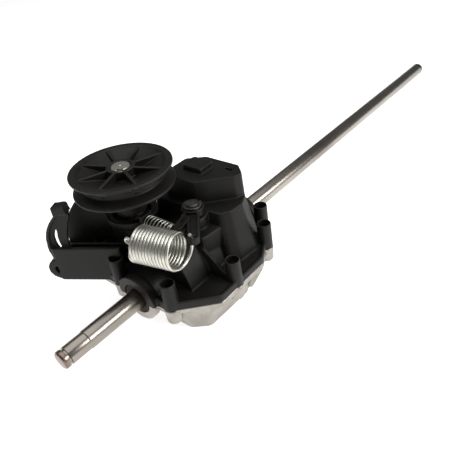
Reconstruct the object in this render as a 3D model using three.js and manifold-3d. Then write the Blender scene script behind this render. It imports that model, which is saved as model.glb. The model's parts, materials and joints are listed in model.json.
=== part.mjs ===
// Self-propelled mower drive gearbox: a belt pulley turns a vertical worm, the worm turns a wheel
// that runs loose on a long axle, and a lever slides a cone clutch into the wheel to drive the axle.
// Millimetres. X runs along the axle, Z up the pulley shaft, and the origin is on the axle's axis
// at the middle of the worm wheel.
import * as THREE from 'three';
import Module from 'manifold-3d';
import { mergeVertices } from 'three/addons/utils/BufferGeometryUtils.js';

const wasm = await Module();
wasm.setup();

// Fits and walls
const gap = 0.3;
const wall = 3;
const partingGap = 0.3;

// Axle
const axleRadius = 6;
const axleNearLength = 89;
const axleFarLength = 407;
const axleEndNeck = 5.6;
const axleEndLength = 17;

// Worm drive
const gearModule = 23 / 15;
const wheelTeeth = 30;
const wheelWidth = 12;
const wormStarts = 2;
const wormPitchRadius = 7;
const wormLength = 22;
const toothBacklash = 0.3;
const wheelPitchRadius = gearModule * wheelTeeth / 2;
const centreDistance = wheelPitchRadius + wormPitchRadius;
const wormLead = Math.PI * gearModule * wormStarts;
const addendum = 0.9 * gearModule;
const dedendum = 1.25 * gearModule;

// Input shaft, its bearing and the pulley
const shaftRadius = 6;
const journalRadius = 4;
const pulleyRadius = 31.5;
const pulleyBase = 52.7;
const pulleyWidth = 13;
const pulleySpokes = 8;
const spokeHalf = 1.3;
const pulleyHubRadius = 10;
const bearingRadius = 12;
const bearingWidth = 6;
const bearingBase = 21.5;
const cupTop = 34;
const cupWall = 2.5;

// Gear case
const nearFace = -34;
const farFace = 71.5;
const flangeNear = -31;
const flangeFar = 70;
const flangeFront = -46;
const flangeBack = 50;
const flangeThickness = 3.6;
const rimWidth = 1.8;
const rimHeight = 1.2;
const cavityNear = -12;
const cavityFar = 52;
const bushWall = 2.7;
const bushLength = 15;
const sealLength = 2.2;
const collarWall = 6;
const wheelCavity = wheelPitchRadius + addendum + 1;
const clutchCavity = wheelCavity - 1.5;
const caseRadius = wheelCavity + wall - 0.5;
const caseDepth = wheelCavity + wall;
const collarRadius = axleRadius + bushWall + collarWall + gap;
const screwRadius = 2;
const screwHeadRadius = 3.4;
const bossRadius = 4.9;
const bossHeight = 18;
const screwSeat = 9;
const nubDepth = 10;

// Clutch and its lever
const coneAngle = 15 * Math.PI / 180;
const coneRadius = 17.5;
const leverTravel = 20 * Math.PI / 180;
const fingerOffset = 5;
const fingerRadius = 2;
const leverPivot = [15.5, -9];
const leverShaftRadius = 4;
const leverHeight = 35.6;
const leverThickness = 3;
const leverBossTop = leverHeight - 1.2;
const coneTravel = fingerOffset * Math.sin(leverTravel);
const coneRestGap = coneTravel + 0.8;
const drivePinRadius = 2;
const drivePinX = 25;

// Springs
const bigWire = 0.95;
const bigSpringRadius = 10.3;
const bigSpringTurns = 12;
const bigSpringPitch = 2.1;
const bigSpringStart = [-17.6, -26.5];
const bigSpringLooseEnd = 6.5;
const bigSpringHeight = 35;
const bigSpringHeading = 103.3 * Math.PI / 180;
const thinWire = 0.4;
const thinSpringRadius = 4.2;
const thinSpringTurns = 7;
const springPostY = 11;
const springPostHalf = 4.5;
const thinSpringX = -4;
const thinSpringHeight = 34;
const thinSpringEnd = -10.7;

const round = 28;
const small = 12;

const material = (color, roughness, metalness) =>
  new THREE.MeshStandardMaterial({ color, roughness, metalness });
const nylon = () => material(0x262524, 0.55, 0);
const castAluminium = () => material(0xb9b4aa, 0.45, 0.9);
const steel = () => material(0xa9a49b, 0.3, 1);
const springSteel = () => material(0xd9d8d0, 0.25, 1);
const bronze = () => material(0x8a6a3c, 0.45, 0.9);
const rubber = () => material(0x2a1c18, 0.8, 0);

// A closed three.js geometry as a manifold solid
function solid(geometry) {
  const bare = geometry.clone();
  bare.deleteAttribute('normal');
  bare.deleteAttribute('uv');
  const merged = mergeVertices(bare, 1e-4);
  const indices = merged.index.array;
  const kept = [];
  for (let i = 0; i < indices.length; i += 3) {
    const [a, b, c] = [indices[i], indices[i + 1], indices[i + 2]];
    if (a !== b && b !== c && c !== a) kept.push(a, b, c);
  }
  const vertProperties = new Float32Array(merged.attributes.position.array);
  return new wasm.Manifold(new wasm.Mesh({ numProp: 3, vertProperties, triVerts: new Uint32Array(kept) }));
}

// A manifold solid back as a three.js geometry
function geometryOf(manifold) {
  const mesh = manifold.getMesh();
  const geometry = new THREE.BufferGeometry();
  geometry.setAttribute('position', new THREE.BufferAttribute(new Float32Array(mesh.vertProperties), 3));
  geometry.setIndex(new THREE.BufferAttribute(new Uint32Array(mesh.triVerts), 1));
  geometry.computeVertexNormals();
  return geometry;
}

const join = (first, ...rest) => rest.reduce((whole, part) => whole.add(part), first);
const cut = (first, ...tools) => tools.reduce((whole, tool) => whole.subtract(tool), first);

const box = (low, high) => {
  const size = high.map((value, i) => value - low[i]);
  const geometry = new THREE.BoxGeometry(...size);
  geometry.translate(...low.map((value, i) => value + size[i] / 2));
  return solid(geometry);
};

// Flat outline (corner points) raised from one height to another; the top can shrink about a centre
function prism(points, low, high, taper = 1, centre = [0, 0]) {
  const shape = new THREE.Shape(points.map(([x, y]) => new THREE.Vector2(x, y)));
  const geometry = new THREE.ExtrudeGeometry(shape, { depth: high - low, bevelEnabled: false });
  geometry.translate(0, 0, low);
  const position = geometry.attributes.position;
  for (let i = 0; i < position.count; i++) {
    const scale = 1 + (taper - 1) * (position.getZ(i) - low) / (high - low);
    position.setX(i, centre[0] + (position.getX(i) - centre[0]) * scale);
    position.setY(i, centre[1] + (position.getY(i) - centre[1]) * scale);
  }
  return solid(geometry);
}

// Solid of revolution about Z from [radius, height] corners that close on the axis or on themselves
function turned(profile, sides = round) {
  const points = profile.map(([r, z]) => new THREE.Vector2(r, z));
  if (profile[0][0] > 0) points.push(points[0].clone());
  const geometry = new THREE.LatheGeometry(points, sides);
  geometry.rotateX(Math.PI / 2);
  const made = solid(geometry);
  return made.volume() < 0 ? solid(flipped(geometry)) : made;
}

function flipped(geometry) {
  const turnedOver = geometry.clone();
  const index = turnedOver.index.array;
  for (let i = 0; i < index.length; i += 3) [index[i], index[i + 1]] = [index[i + 1], index[i]];
  return turnedOver;
}

const upright = (radius, low, high, x = 0, y = 0, sides = round) => {
  const geometry = new THREE.CylinderGeometry(radius, radius, high - low, sides);
  geometry.rotateX(Math.PI / 2);
  geometry.translate(x, y, (low + high) / 2);
  return solid(geometry);
};

const alongY = (radius, from, to, x, z, sides = small) =>
  upright(radius, -to, -from, 0, 0, sides).rotate([90, 0, 0]).translate([x, 0, z]);
const alongX = (radius, from, to, sides = round) => upright(radius, from, to, 0, 0, sides).rotate([0, 90, 0]);
const turnedAlongX = (profile, sides = round) => turned(profile, sides).rotate([0, 90, 0]);

const ring = (outer, inner, low, high, sides = round) =>
  turned([[inner, low], [outer, low], [outer, high], [inner, high]], sides);

// Plate with round ends between two points
function link(from, to, radiusFrom, radiusTo, low, high) {
  const heading = Math.atan2(to[1] - from[1], to[0] - from[0]);
  const points = [];
  const steps = 6;
  for (let i = 0; i <= steps; i++) {
    const angle = heading + Math.PI / 2 + Math.PI * i / steps;
    points.push([from[0] + radiusFrom * Math.cos(angle), from[1] + radiusFrom * Math.sin(angle)]);
  }
  for (let i = 0; i <= steps; i++) {
    const angle = heading - Math.PI / 2 + Math.PI * i / steps;
    points.push([to[0] + radiusTo * Math.cos(angle), to[1] + radiusTo * Math.sin(angle)]);
  }
  return prism(points, low, high);
}

// Outline extruded along Z and turned steadily as it rises, for helical teeth and worm threads
function twisted(points, length, steps, turnPerMm) {
  const shape = new THREE.Shape(points.map(([x, y]) => new THREE.Vector2(x, y)));
  const geometry = new THREE.ExtrudeGeometry(shape, { depth: length, steps, bevelEnabled: false });
  geometry.translate(0, 0, -length / 2);
  const position = geometry.attributes.position;
  const point = new THREE.Vector3();
  const zAxis = new THREE.Vector3(0, 0, 1);
  for (let i = 0; i < position.count; i++) {
    point.fromBufferAttribute(position, i);
    point.applyAxisAngle(zAxis, point.z * turnPerMm);
    position.setXYZ(i, point.x, point.y, point.z);
  }
  return solid(geometry);
}

// Wire bent along a path
function wire(points, radius, steps, sides) {
  const path = new THREE.CatmullRomCurve3(points);
  const section = new THREE.Shape();
  section.absarc(0, 0, radius, 0, 2 * Math.PI, false);
  const options = { steps, curveSegments: sides / 2, extrudePath: path, bevelEnabled: false };
  return new THREE.ExtrudeGeometry(section, options);
}

const assembly = new THREE.Group();

function addPart(parent, name, shape, look, position = [0, 0, 0]) {
  const geometry = shape.isBufferGeometry ? shape : geometryOf(shape);
  const mesh = new THREE.Mesh(geometry, look);
  mesh.name = name;
  mesh.position.set(...position);
  parent.add(mesh);
  return mesh;
}

function subGroup(position) {
  const group = new THREE.Group();
  group.position.set(...position);
  assembly.add(group);
  return group;
}

// ---- Gear case ----
const screwSpots = [
  [flangeNear + 4, 21],
  [flangeNear + 4, -23],
  [8, flangeFront + 4],
  [flangeFar - 23, flangeFront + 9],
  [flangeFar - 7, -23],
  [flangeFar - 7, 24],
  [34, flangeBack - 5],
  [flangeNear + 12, flangeBack - 5],
];

const flangeOutline = [
  [flangeNear, -20], [flangeNear + 4, -28], [-9, flangeFront], [32, flangeFront], [flangeFar - 4, -27],
  [flangeFar, -20], [flangeFar, 26], [40, flangeBack], [-22, flangeBack], [flangeNear, 34],
];

// Outline drawn in by the same distance all round; its corners run anticlockwise
function inset(points, distance) {
  return points.map((point, i) => {
    const before = points[(i + points.length - 1) % points.length];
    const after = points[(i + 1) % points.length];
    const normal = ([ax, ay], [bx, by]) => new THREE.Vector2(ay - by, bx - ax).normalize();
    const [first, second] = [normal(before, point), normal(point, after)];
    const half = first.clone().add(second).normalize();
    const reach = distance / half.dot(first);
    return [point[0] + half.x * reach, point[1] + half.y * reach];
  });
}

const halfSpace = (low, high) => box([-200, -200, low], [600, 200, high]);
const aboveParting = halfSpace(partingGap / 2, 100);
const belowParting = halfSpace(-100, -partingGap / 2);

const wormWell = wormPitchRadius + addendum + 2;
const bushOuter = axleRadius + gap / 2 + bushWall;
const sealOuter = bushOuter + 1;

// Everything hollow in the case: the wheel and clutch chamber, the worm's well and the bearing seats
function caseHollows() {
  return join(
    alongX(wheelCavity, cavityNear, leverPivot[0] - 5),
    alongX(clutchCavity, leverPivot[0] - 5.1, cavityFar),
    upright(wormWell, -wormLength / 2 - 4, bearingBase + 0.1, 0, centreDistance),
    upright(journalRadius + 3 + gap, -wormLength / 2 - 11, 0, 0, centreDistance),
    alongX(bushOuter + gap / 2, nearFace + sealLength + 1, cavityNear + 0.1),
    alongX(bushOuter + gap / 2, cavityFar - 0.1, farFace - sealLength - 1),
    alongX(sealOuter + gap / 2, nearFace - 1, nearFace + sealLength + 1),
    alongX(sealOuter + gap / 2, farFace - sealLength - 1, farFace + 1),
  );
}

// Collar around an axle bush, thicker at its open face
function collar(outerFace, innerFace) {
  const lip = outerFace < innerFace ? outerFace + 5 : outerFace - 5;
  const [low, high] = [outerFace, innerFace].sort((a, b) => a - b);
  const [lipLow, lipHigh] = [outerFace, lip].sort((a, b) => a - b);
  return join(alongX(collarRadius - 1.5, low, high), alongX(collarRadius, lipLow, lipHigh));
}

const screwBoss = ([x, y], low, high) => upright(bossRadius, low, high, x, y, small);

const domeCentre = [38, 0];
const domeOutline = [
  [16, -32], [24, -37], [38, -38], [50, -32], [59, -20], [59, 20], [48, 34], [34, 38], [10, 38],
];
const domeTop = 34;
const towerOutline = [[24, -3], [30, -10], [42, -22], [48, -24], [56, -15], [56, 12], [47, 24], [24, 24]];
const towerTop = 50;
const blockClearance = 6.1;
const blockFar = 14;
const blockNear = Math.sqrt((pulleyRadius + blockClearance) ** 2 - (centreDistance - blockFar) ** 2);
const blockLength = 12;
const towerBlock = [
  [blockNear, -2], [blockNear + blockLength, -2], [blockNear + blockLength, blockFar], [blockNear, blockFar],
];

// Belt guard arm beside the pulley: it leaves the case at an angle in plan
const armHeading = 120.7 * Math.PI / 180;
const armLength = 41;
const armDepth = 22;
const armHeight = 25;
const armRoot = [-27, 20];
const armWall = 2.6;
const guardHeight = 46;
const fingerBack = 8;
const fingerLength = 11;
const fingerClearance = 1.65;

// The keeper finger stands just outside the pulley's rim: its inner edge, measured along the arm
function fingerInner() {
  const [x, y] = [-armRoot[0], centreDistance - armRoot[1]];
  const pulleyAlong = x * Math.cos(armHeading) + y * Math.sin(armHeading);
  const pulleyAcross = y * Math.cos(armHeading) - x * Math.sin(armHeading);
  return pulleyAlong + Math.sqrt((pulleyRadius + fingerClearance) ** 2 - (pulleyAcross + fingerBack) ** 2);
}

// The arm is drawn along +X with its front wall at y = 0, then turned and moved to the case
function beltGuardArm() {
  const frontWall = box([-3, -armWall, partingGap / 2], [armLength, 0, armHeight]);
  const floor = box([-3, -armDepth, partingGap / 2], [armLength, 0, 4]);
  const endWall = box([armLength - armWall, -armDepth, partingGap / 2], [armLength, 0, armHeight - 9]);
  const innerStep = box(
    [-3, -armDepth + 8, partingGap / 2], [armLength - 6, -armDepth + 10, armHeight - 5],
  );
  const rearWall = prism(
    [[-3, 0], [armLength - 10, 0], [armLength - 5, 14], [armLength - 7, 26], [armLength - 16, 40],
      [armLength - 20, guardHeight], [14, guardHeight], [12, 30], [-3, 30]], 0, armWall,
  ).rotate([90, 0, 0]).translate([0, -armDepth + armWall, partingGap / 2]);
  const ear = cut(
    upright(7.5, -5, 0, armLength - 1, 8.6, 20), upright(3.2, -6, 1, armLength - 1, 8.6, small),
  ).rotate([90, 0, 0]).translate([0, -5, partingGap / 2]);
  const bow = curvedRib();
  return join(frontWall, floor, endWall, innerStep, rearWall, ear, bow)
    .rotate([0, 0, armHeading * 180 / Math.PI])
    .translate([armRoot[0], armRoot[1], 0]);
}

// Bowed rib that climbs from the arm's end to the keeper finger beside the belt groove
function curvedRib() {
  const outer = new THREE.Shape();
  outer.moveTo(armLength - 4, 12);
  outer.lineTo(armLength + 0.5, 14);
  const inner = fingerInner();
  outer.bezierCurveTo(armLength + 4, 26, armLength + 2, 38, inner + fingerLength, guardHeight + 2);
  outer.lineTo(inner + fingerLength, guardHeight + 10);
  outer.lineTo(inner, guardHeight + 12);
  outer.lineTo(inner - 1, guardHeight + 4);
  outer.lineTo(inner + 6, guardHeight);
  outer.bezierCurveTo(armLength - 3, 36, armLength - 1, 26, armLength - 4, 12);
  const options = { depth: fingerBack - 1, curveSegments: 6, bevelEnabled: false };
  const geometry = new THREE.ExtrudeGeometry(outer, options);
  return solid(geometry).rotate([90, 0, 0]).translate([0, -1, 0]);
}

// Upper shell: flange, wheel hump, clutch dome, lever tower, worm cup and belt guard arm in one moulding
function upperHousing() {
  const flange = prism(flangeOutline, partingGap / 2, flangeThickness);
  const rim = cut(
    prism(flangeOutline, partingGap / 2, flangeThickness + rimHeight),
    prism(inset(flangeOutline, rimWidth), flangeThickness, flangeThickness + rimHeight + 1),
  );
  const hump = alongX(caseRadius, cavityNear - 2, domeCentre[0] - 10).intersect(aboveParting);
  const collars = join(collar(nearFace, cavityNear), collar(farFace, cavityFar)).intersect(aboveParting);
  const dome = prism(domeOutline, partingGap / 2, domeTop, 0.88, domeCentre);
  const tower = prism(towerOutline, domeTop - 4, towerTop, 0.97, domeCentre);
  const block = prism(towerBlock, towerTop - 1, towerTop + 4);
  const cupRadius = bearingRadius + gap + cupWall;
  const cup = turned([[0, partingGap / 2], [cupRadius + 2, partingGap / 2], [cupRadius, 12],
    [cupRadius, cupTop - 5], [cupRadius + 1.5, cupTop - 3.5], [cupRadius + 1.5, cupTop], [0, cupTop]])
    .translate([0, centreDistance, 0]);
  const leverBoss = upright(leverShaftRadius + 4, clutchCavity - 4, leverBossTop, ...leverPivot);
  const bosses = screwSpots.map((spot) => screwBoss(spot, partingGap / 2, bossHeight));
  const post = box(
    [thinSpringX - springPostHalf, springPostY, caseRadius - 6],
    [thinSpringX + springPostHalf, springPostY + 3, thinSpringHeight + 5],
  );
  const peg = alongY(thinSpringRadius - 1.6, 5, springPostY + 0.1, thinSpringX, thinSpringHeight);
  const chest = prism([[6, -23], [24, -25], [24, 2], [6, 2]], 5, clutchCavity + wall);
  const gussets = [-5.5, 3.5].map((x) => prism(
    [[-18, 0], [flangeFront + 2, 0], [flangeFront + 2, 5], [-24, 21], [-18, 21]], x, x + 2.4,
  ).rotate([90, 0, 90]).translate([0, 0, partingGap / 2]));
  const whole = join(
    flange, rim, hump, collars, dome, tower, block, cup, leverBoss, chest, ...bosses, post, peg, ...gussets,
    beltGuardArm(),
  );
  const screwHoles = screwSpots.map(([x, y]) => join(
    upright(screwHeadRadius + gap, screwSeat, bossHeight + 1, x, y, small),
    upright(screwRadius + gap, -1, screwSeat + 1, x, y, 8),
  ));
  return cut(
    whole, caseHollows(), ...screwHoles,
    upright(bearingRadius + gap, bearingBase, cupTop + 1, 0, centreDistance),
    upright(leverShaftRadius + gap, clutchCavity - 8, leverHeight, ...leverPivot, 20),
    upright(leverShaftRadius + 2.2, leverBossTop - 3.2, leverBossTop + 1, ...leverPivot, 20),
    box(
      [leverPivot[0] - 6, leverPivot[1] - 10, 0],
      [leverPivot[0] + 6, leverPivot[1] + 8, clutchCavity - 2],
    ),
    box([44, flangeBack - 38, domeTop + 3], [60, flangeBack, towerTop - 3]),
  ).intersect(aboveParting);
}

// Lower shell: flange, pan, half collars, screw nubs and cooling fins
function lowerCase() {
  const flange = prism(flangeOutline, -flangeThickness, -partingGap / 2);
  const floorOutline = [
    [-16, -12], [-16, -22], [-8, -32], [28, -33], [46, -26], [55, -14], [55, 18], [36, 34], [14, 40],
    [-10, 41], [-16, 32],
  ];
  const pan = prism(floorOutline, -caseDepth, -partingGap / 2, 1.16, [18, 2]);
  const collars = join(collar(nearFace, cavityNear), collar(farFace, cavityFar)).intersect(belowParting);
  const nubs = screwSpots.map((spot) => screwBoss(spot, -nubDepth, -partingGap / 2));
  const fins = [];
  for (let x = -4; x <= 30; x += 4.25) {
    fins.push(prism([[-30, -caseDepth + 4], [flangeFront + 2, -9], [flangeFront + 2, -3], [-30, -3]],
      x, x + 1.6).rotate([90, 0, 90]));
  }
  const whole = join(flange, pan, collars, ...nubs, ...fins);
  const screwHoles = screwSpots.map(([x, y]) => upright(screwRadius + gap, -nubDepth + 1, 1, x, y, 8));
  return cut(whole, caseHollows(), ...screwHoles).intersect(belowParting);
}

// Steel ring sprung open in a shaft groove
function circlip(inner, outer, thickness) {
  const slot = box([0, -1.2, -1], [outer + 1, 1.2, thickness + 1]);
  return cut(ring(outer, inner, 0, thickness, 20), slot);
}

function caseScrew() {
  const head = turned([
    [0, 0], [screwHeadRadius, 0], [screwHeadRadius, 1.6], [screwHeadRadius - 1, 2.6], [0, 2.6],
  ], small);
  const socket = upright(1.7, 1.2, 4, 0, 0, 6);
  return cut(join(head, upright(screwRadius, -screwSeat - nubDepth + 2, 0.1, 0, 0, 8)), socket);
}

const axleBush = () => turnedAlongX([[axleRadius + gap / 2, 0], [bushOuter, 0], [bushOuter, bushLength],
  [axleRadius + gap / 2, bushLength]]);
const axleSeal = () => turnedAlongX([[axleRadius + gap, 0.6], [axleRadius + 1.6, 0], [sealOuter - 0.15, 0],
  [sealOuter - 0.15, sealLength], [axleRadius + 1.6, sealLength], [axleRadius + gap, sealLength - 0.6]]);

const housing = subGroup([0, 0, 0]);
addPart(housing, 'upper_housing', upperHousing(), nylon());
addPart(housing, 'lower_case', lowerCase(), castAluminium());
screwSpots.forEach(([x, y], i) => {
  addPart(housing, `case_screw_${i + 1}`, caseScrew(), steel(), [x, y, screwSeat + gap]);
});
const nearBushX = nearFace + sealLength + 1 + gap;
const farBushX = farFace - sealLength - 1 - gap - bushLength;
addPart(housing, 'near_axle_bush', axleBush(), bronze(), [nearBushX, 0, 0]);
addPart(housing, 'far_axle_bush', axleBush(), bronze(), [farBushX, 0, 0]);
addPart(housing, 'near_axle_seal', axleSeal(), rubber(), [nearFace + 0.7, 0, 0]);
addPart(housing, 'far_axle_seal', axleSeal(), rubber(), [farFace - 0.7 - sealLength, 0, 0]);
const leverSeal = ring(leverShaftRadius + 1.9, leverShaftRadius + gap, 0, 2.4, 20);
addPart(housing, 'lever_shaft_seal', leverSeal, rubber(), [...leverPivot, leverBossTop - 2.9]);

// ---- Input bearing and seals, on the worm's axis ----
const ballCircle = (bearingRadius + shaftRadius) / 2 + 0.1;
const ballRadius = 1.7;
const grooveRadius = ballRadius + gap;

// Race with a rounded groove for the balls; side is +1 for the outer ring and -1 for the inner one
function race(plainRadius, side) {
  const lip = ballCircle + side * 1.1;
  const halfGroove = Math.acos(1.1 / grooveRadius);
  const half = bearingWidth / 2;
  const profile = [[plainRadius, half], [plainRadius, -half], [lip, -half]];
  for (let i = -2; i <= 2; i++) {
    const angle = halfGroove * i / 2;
    profile.push([ballCircle + side * grooveRadius * Math.cos(angle), grooveRadius * Math.sin(angle)]);
  }
  profile.push([lip, half]);
  return turned(profile, 24);
}

function ballsAndCage() {
  const balls = [];
  for (let i = 0; i < 8; i++) {
    const angle = 2 * Math.PI * i / 8;
    const ball = new THREE.IcosahedronGeometry(ballRadius, 0);
    ball.translate(ballCircle * Math.cos(angle), ballCircle * Math.sin(angle), 0);
    balls.push(solid(ball));
  }
  return join(ring(ballCircle + 0.5, ballCircle - 0.5, -1, 1, 24), ...balls);
}

const bearingMiddle = bearingBase + gap + bearingWidth / 2;
const wormBottom = -wormLength / 2 - 10.5;
const sealLip = shaftRadius + 0.3 * (bearingRadius - shaftRadius);
const shaftSeal = turned([
  [shaftRadius + gap, 0.8], [sealLip, 0], [bearingRadius, 0], [bearingRadius, 3],
  [sealLip, 3], [shaftRadius + gap, 2.2],
], 24);
const wormBush = turned([
  [journalRadius + gap / 2, 0], [journalRadius + 3, 0], [journalRadius + 3, 7], [journalRadius + 5, 7],
  [journalRadius + 5, 8.3], [journalRadius + gap / 2, 8.3],
], 24);
const outerRace = race(bearingRadius, 1);
addPart(housing, 'input_bearing_outer_race', outerRace, steel(), [0, centreDistance, bearingMiddle]);
addPart(housing, 'input_shaft_seal', shaftSeal, rubber(),
  [0, centreDistance, bearingBase + bearingWidth + 2 * gap]);
addPart(housing, 'worm_lower_bush', wormBush, bronze(), [0, centreDistance, wormBottom - 0.2]);

// ---- Input: worm shaft, pulley, key and clip ----
const input = subGroup([0, centreDistance, 0]);
const pulleyTop = pulleyBase + pulleyWidth;
const keyHeading = -132;
const keyHalf = 1.5;

// Cross-section of the worm: each start is a lobe whose flanks are straight in axial section
function wormSection() {
  const risePerRadian = wormLead / (2 * Math.PI);
  const rootRadius = wormPitchRadius - dedendum;
  const outerRadius = wormPitchRadius + addendum;
  const halfThickness = (Math.PI * gearModule / 2 - toothBacklash) / 2;
  const points = [];
  const halfAngle = (r) => (halfThickness - (r - wormPitchRadius) * Math.tan(Math.PI / 9)) / risePerRadian;
  const flankRadii = [rootRadius, wormPitchRadius - 0.3, outerRadius];
  for (let start = 0; start < wormStarts; start++) {
    const centre = -Math.PI / 2 + 2 * Math.PI * start / wormStarts;
    const halfRoot = Math.PI / wormStarts;
    const push = (r, angle) => points.push([r * Math.cos(centre + angle), r * Math.sin(centre + angle)]);
    push(rootRadius, -halfRoot);
    flankRadii.forEach((r) => push(r, -halfAngle(r)));
    push(outerRadius, 0);
    [...flankRadii].reverse().forEach((r) => push(r, halfAngle(r)));
  }
  return points;
}

const keySlot = (inner, outer, halfWidth, low, high) =>
  box([inner, -halfWidth, low], [outer, halfWidth, high]).rotate([0, 0, keyHeading]);

function wormShaft() {
  const risePerRadian = wormLead / (2 * Math.PI);
  const thread = twisted(wormSection(), wormLength, 34, 1 / risePerRadian);
  const core = wormPitchRadius - dedendum + 0.05;
  const shaft = turned([[0, wormBottom], [journalRadius, wormBottom], [journalRadius, -wormLength / 2 - 1],
    [core, -wormLength / 2 - 1], [core, bearingBase - 2.5], [shaftRadius + 1.7, bearingBase - 2.5],
    [shaftRadius + 1.7, bearingBase], [shaftRadius, bearingBase], [shaftRadius, pulleyTop - 0.6],
    [shaftRadius - 0.6, pulleyTop], [0, pulleyTop]], 24);
  const clipGroove = ring(shaftRadius + 1, shaftRadius - 0.8, cupTop - 1, cupTop + 0.8, 24);
  const keyway = keySlot(shaftRadius - 1.8, shaftRadius + 3, keyHalf + gap, pulleyBase + 1, pulleyTop + 1);
  return cut(join(shaft, thread), clipGroove, keyway);
}

function pulley() {
  const rimInner = 22;
  const grooveBottom = 25.2;
  const lipWidth = 1.5;
  const pocketDepth = 4.2;
  const base = pulleyBase;
  const top = pulleyTop;
  const mid = (base + top) / 2;
  const bore = shaftRadius + gap;
  const hubBottom = cupTop + 1.2;
  const hubTop = pulleyHubRadius - 0.4;
  const body = turned([
    [bore, hubBottom], [pulleyHubRadius, hubBottom], [pulleyHubRadius, base + pocketDepth],
    [rimInner, base + pocketDepth], [rimInner, base], [pulleyRadius, base], [pulleyRadius, base + lipWidth],
    [grooveBottom, mid - 2.2], [grooveBottom, mid + 2.2], [pulleyRadius, top - lipWidth], [pulleyRadius, top],
    [rimInner, top], [rimInner, top - pocketDepth], [hubTop, top - pocketDepth], [hubTop, top], [bore, top],
  ], 40);
  const spokes = [];
  for (let i = 0; i < pulleySpokes; i++) {
    const spoke = box(
      [pulleyHubRadius - 1, -spokeHalf, top - pocketDepth - 0.1], [rimInner + 0.5, spokeHalf, top - 0.3],
    );
    spokes.push(spoke.rotate([0, 0, 360 * (i + 0.5) / pulleySpokes]));
  }
  return cut(join(body, ...spokes), keySlot(shaftRadius - 1, shaftRadius + 2, keyHalf + gap, base, top + 1));
}

addPart(input, 'worm_shaft', wormShaft(), steel());
addPart(input, 'pulley', pulley(), nylon());
const key = keySlot(shaftRadius - 1.5, shaftRadius + 1.7, keyHalf, pulleyBase + 1.3, pulleyTop - 0.4);
const pulleyClip = circlip(shaftRadius - 0.5, shaftRadius + 2.6, 1.2);
addPart(input, 'pulley_key', key, steel());
addPart(input, 'pulley_circlip', pulleyClip, steel(), [0, 0, cupTop - 0.7]);
addPart(input, 'input_bearing_inner_race', race(shaftRadius + gap, -1), steel(), [0, 0, bearingMiddle]);
addPart(input, 'input_bearing_balls', ballsAndCage(), steel(), [0, 0, bearingMiddle]);

// ---- Worm wheel, loose on the axle, with a cone recess in its clutch side ----
const wheelGroup = subGroup([0, 0, 0]);
const wheelHubStart = cavityNear + 3;
const recessDepth = 6;

// Transverse section with involute flanks; a space between two teeth points along +Y
function wheelSection() {
  const pressureAngle = Math.PI / 9;
  const baseRadius = wheelPitchRadius * Math.cos(pressureAngle);
  const involute = (angle) => Math.tan(angle) - angle;
  const halfThickness = (Math.PI * gearModule / 2 - toothBacklash) / 2;
  const outer = wheelPitchRadius + addendum;
  const root = wheelPitchRadius - dedendum;
  const halfAngle = (r) => halfThickness / wheelPitchRadius + involute(pressureAngle)
    - involute(Math.acos(Math.min(1, baseRadius / r)));
  const radii = [root, wheelPitchRadius - 0.6, outer];
  const points = [];
  for (let tooth = 0; tooth < wheelTeeth; tooth++) {
    const centre = Math.PI / 2 + 2 * Math.PI * (tooth + 0.5) / wheelTeeth;
    const push = (r, angle) => points.push([r * Math.cos(angle), r * Math.sin(angle)]);
    radii.forEach((r) => push(r, centre - halfAngle(r)));
    [...radii].reverse().forEach((r) => push(r, centre + halfAngle(r)));
  }
  return points;
}

function wormWheel() {
  const leadAngle = Math.atan(wormLead / (2 * Math.PI * wormPitchRadius));
  const toothed = twisted(wheelSection(), wheelWidth, 2, Math.tan(leadAngle) / wheelPitchRadius);
  const hub = upright(12, wheelHubStart, 0, 0, 0, 24);
  const face = wheelWidth / 2;
  const coneFloor = coneRadius - recessDepth * Math.tan(coneAngle);
  const recess = turned([[0, face - recessDepth], [coneFloor, face - recessDepth], [coneRadius, face],
    [coneRadius, face + 1], [0, face + 1]], round);
  const sideRelief = ring(wheelPitchRadius - 5, 12.5, -face - 1, -face + 2, 24);
  return cut(join(toothed, hub), recess, sideRelief, upright(axleRadius + gap / 2, -20, 20, 0, 0, 24))
    .rotate([0, 90, 0]);
}

addPart(wheelGroup, 'worm_wheel', wormWheel(), bronze());

// ---- Axle ----
const axleGroup = subGroup([0, 0, 0]);
const wheelClipX = 0.5;
const endWasherX = cavityFar - 2.2;

function axle() {
  const near = -axleNearLength;
  const far = axleFarLength;
  const grooveDepth = 1;
  const groove = (x) => turnedAlongX([[axleRadius - 0.8, x], [axleRadius + 1, x], [axleRadius + 1, x + 1.6],
    [axleRadius - 0.8, x + 1.6]], 24);
  const bar = turnedAlongX([
    [0, near], [axleEndNeck - 0.8, near], [axleEndNeck, near + 0.8], [axleEndNeck, near + 3],
    [axleEndNeck - grooveDepth, near + 3], [axleEndNeck - grooveDepth, near + 4.4], [axleEndNeck, near + 4.4],
    [axleEndNeck, near + axleEndLength], [axleRadius, near + axleEndLength + 0.5],
    [axleRadius, far - 5], [axleRadius - grooveDepth, far - 5], [axleRadius - grooveDepth, far - 3.6],
    [axleRadius, far - 3.6], [axleRadius, far - 1], [axleRadius - 1, far], [0, far]], 24);
  const pinHole = upright(drivePinRadius + gap, -axleRadius - 1, axleRadius + 1, drivePinX, 0, small);
  return cut(bar, pinHole, groove(wheelClipX - 0.2), groove(endWasherX - 1.8));
}

const washer = (outer, thickness) => turnedAlongX([
  [axleRadius + gap / 2, 0], [outer, 0], [outer, thickness], [axleRadius + gap / 2, thickness],
], 24);
const axleClip = () => circlip(axleRadius - 0.5, axleRadius + 3, 1.1).rotate([0, 90, 0]);
const drivePin = upright(drivePinRadius, -9.8, 9.8, 0, 0, small);

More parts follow.
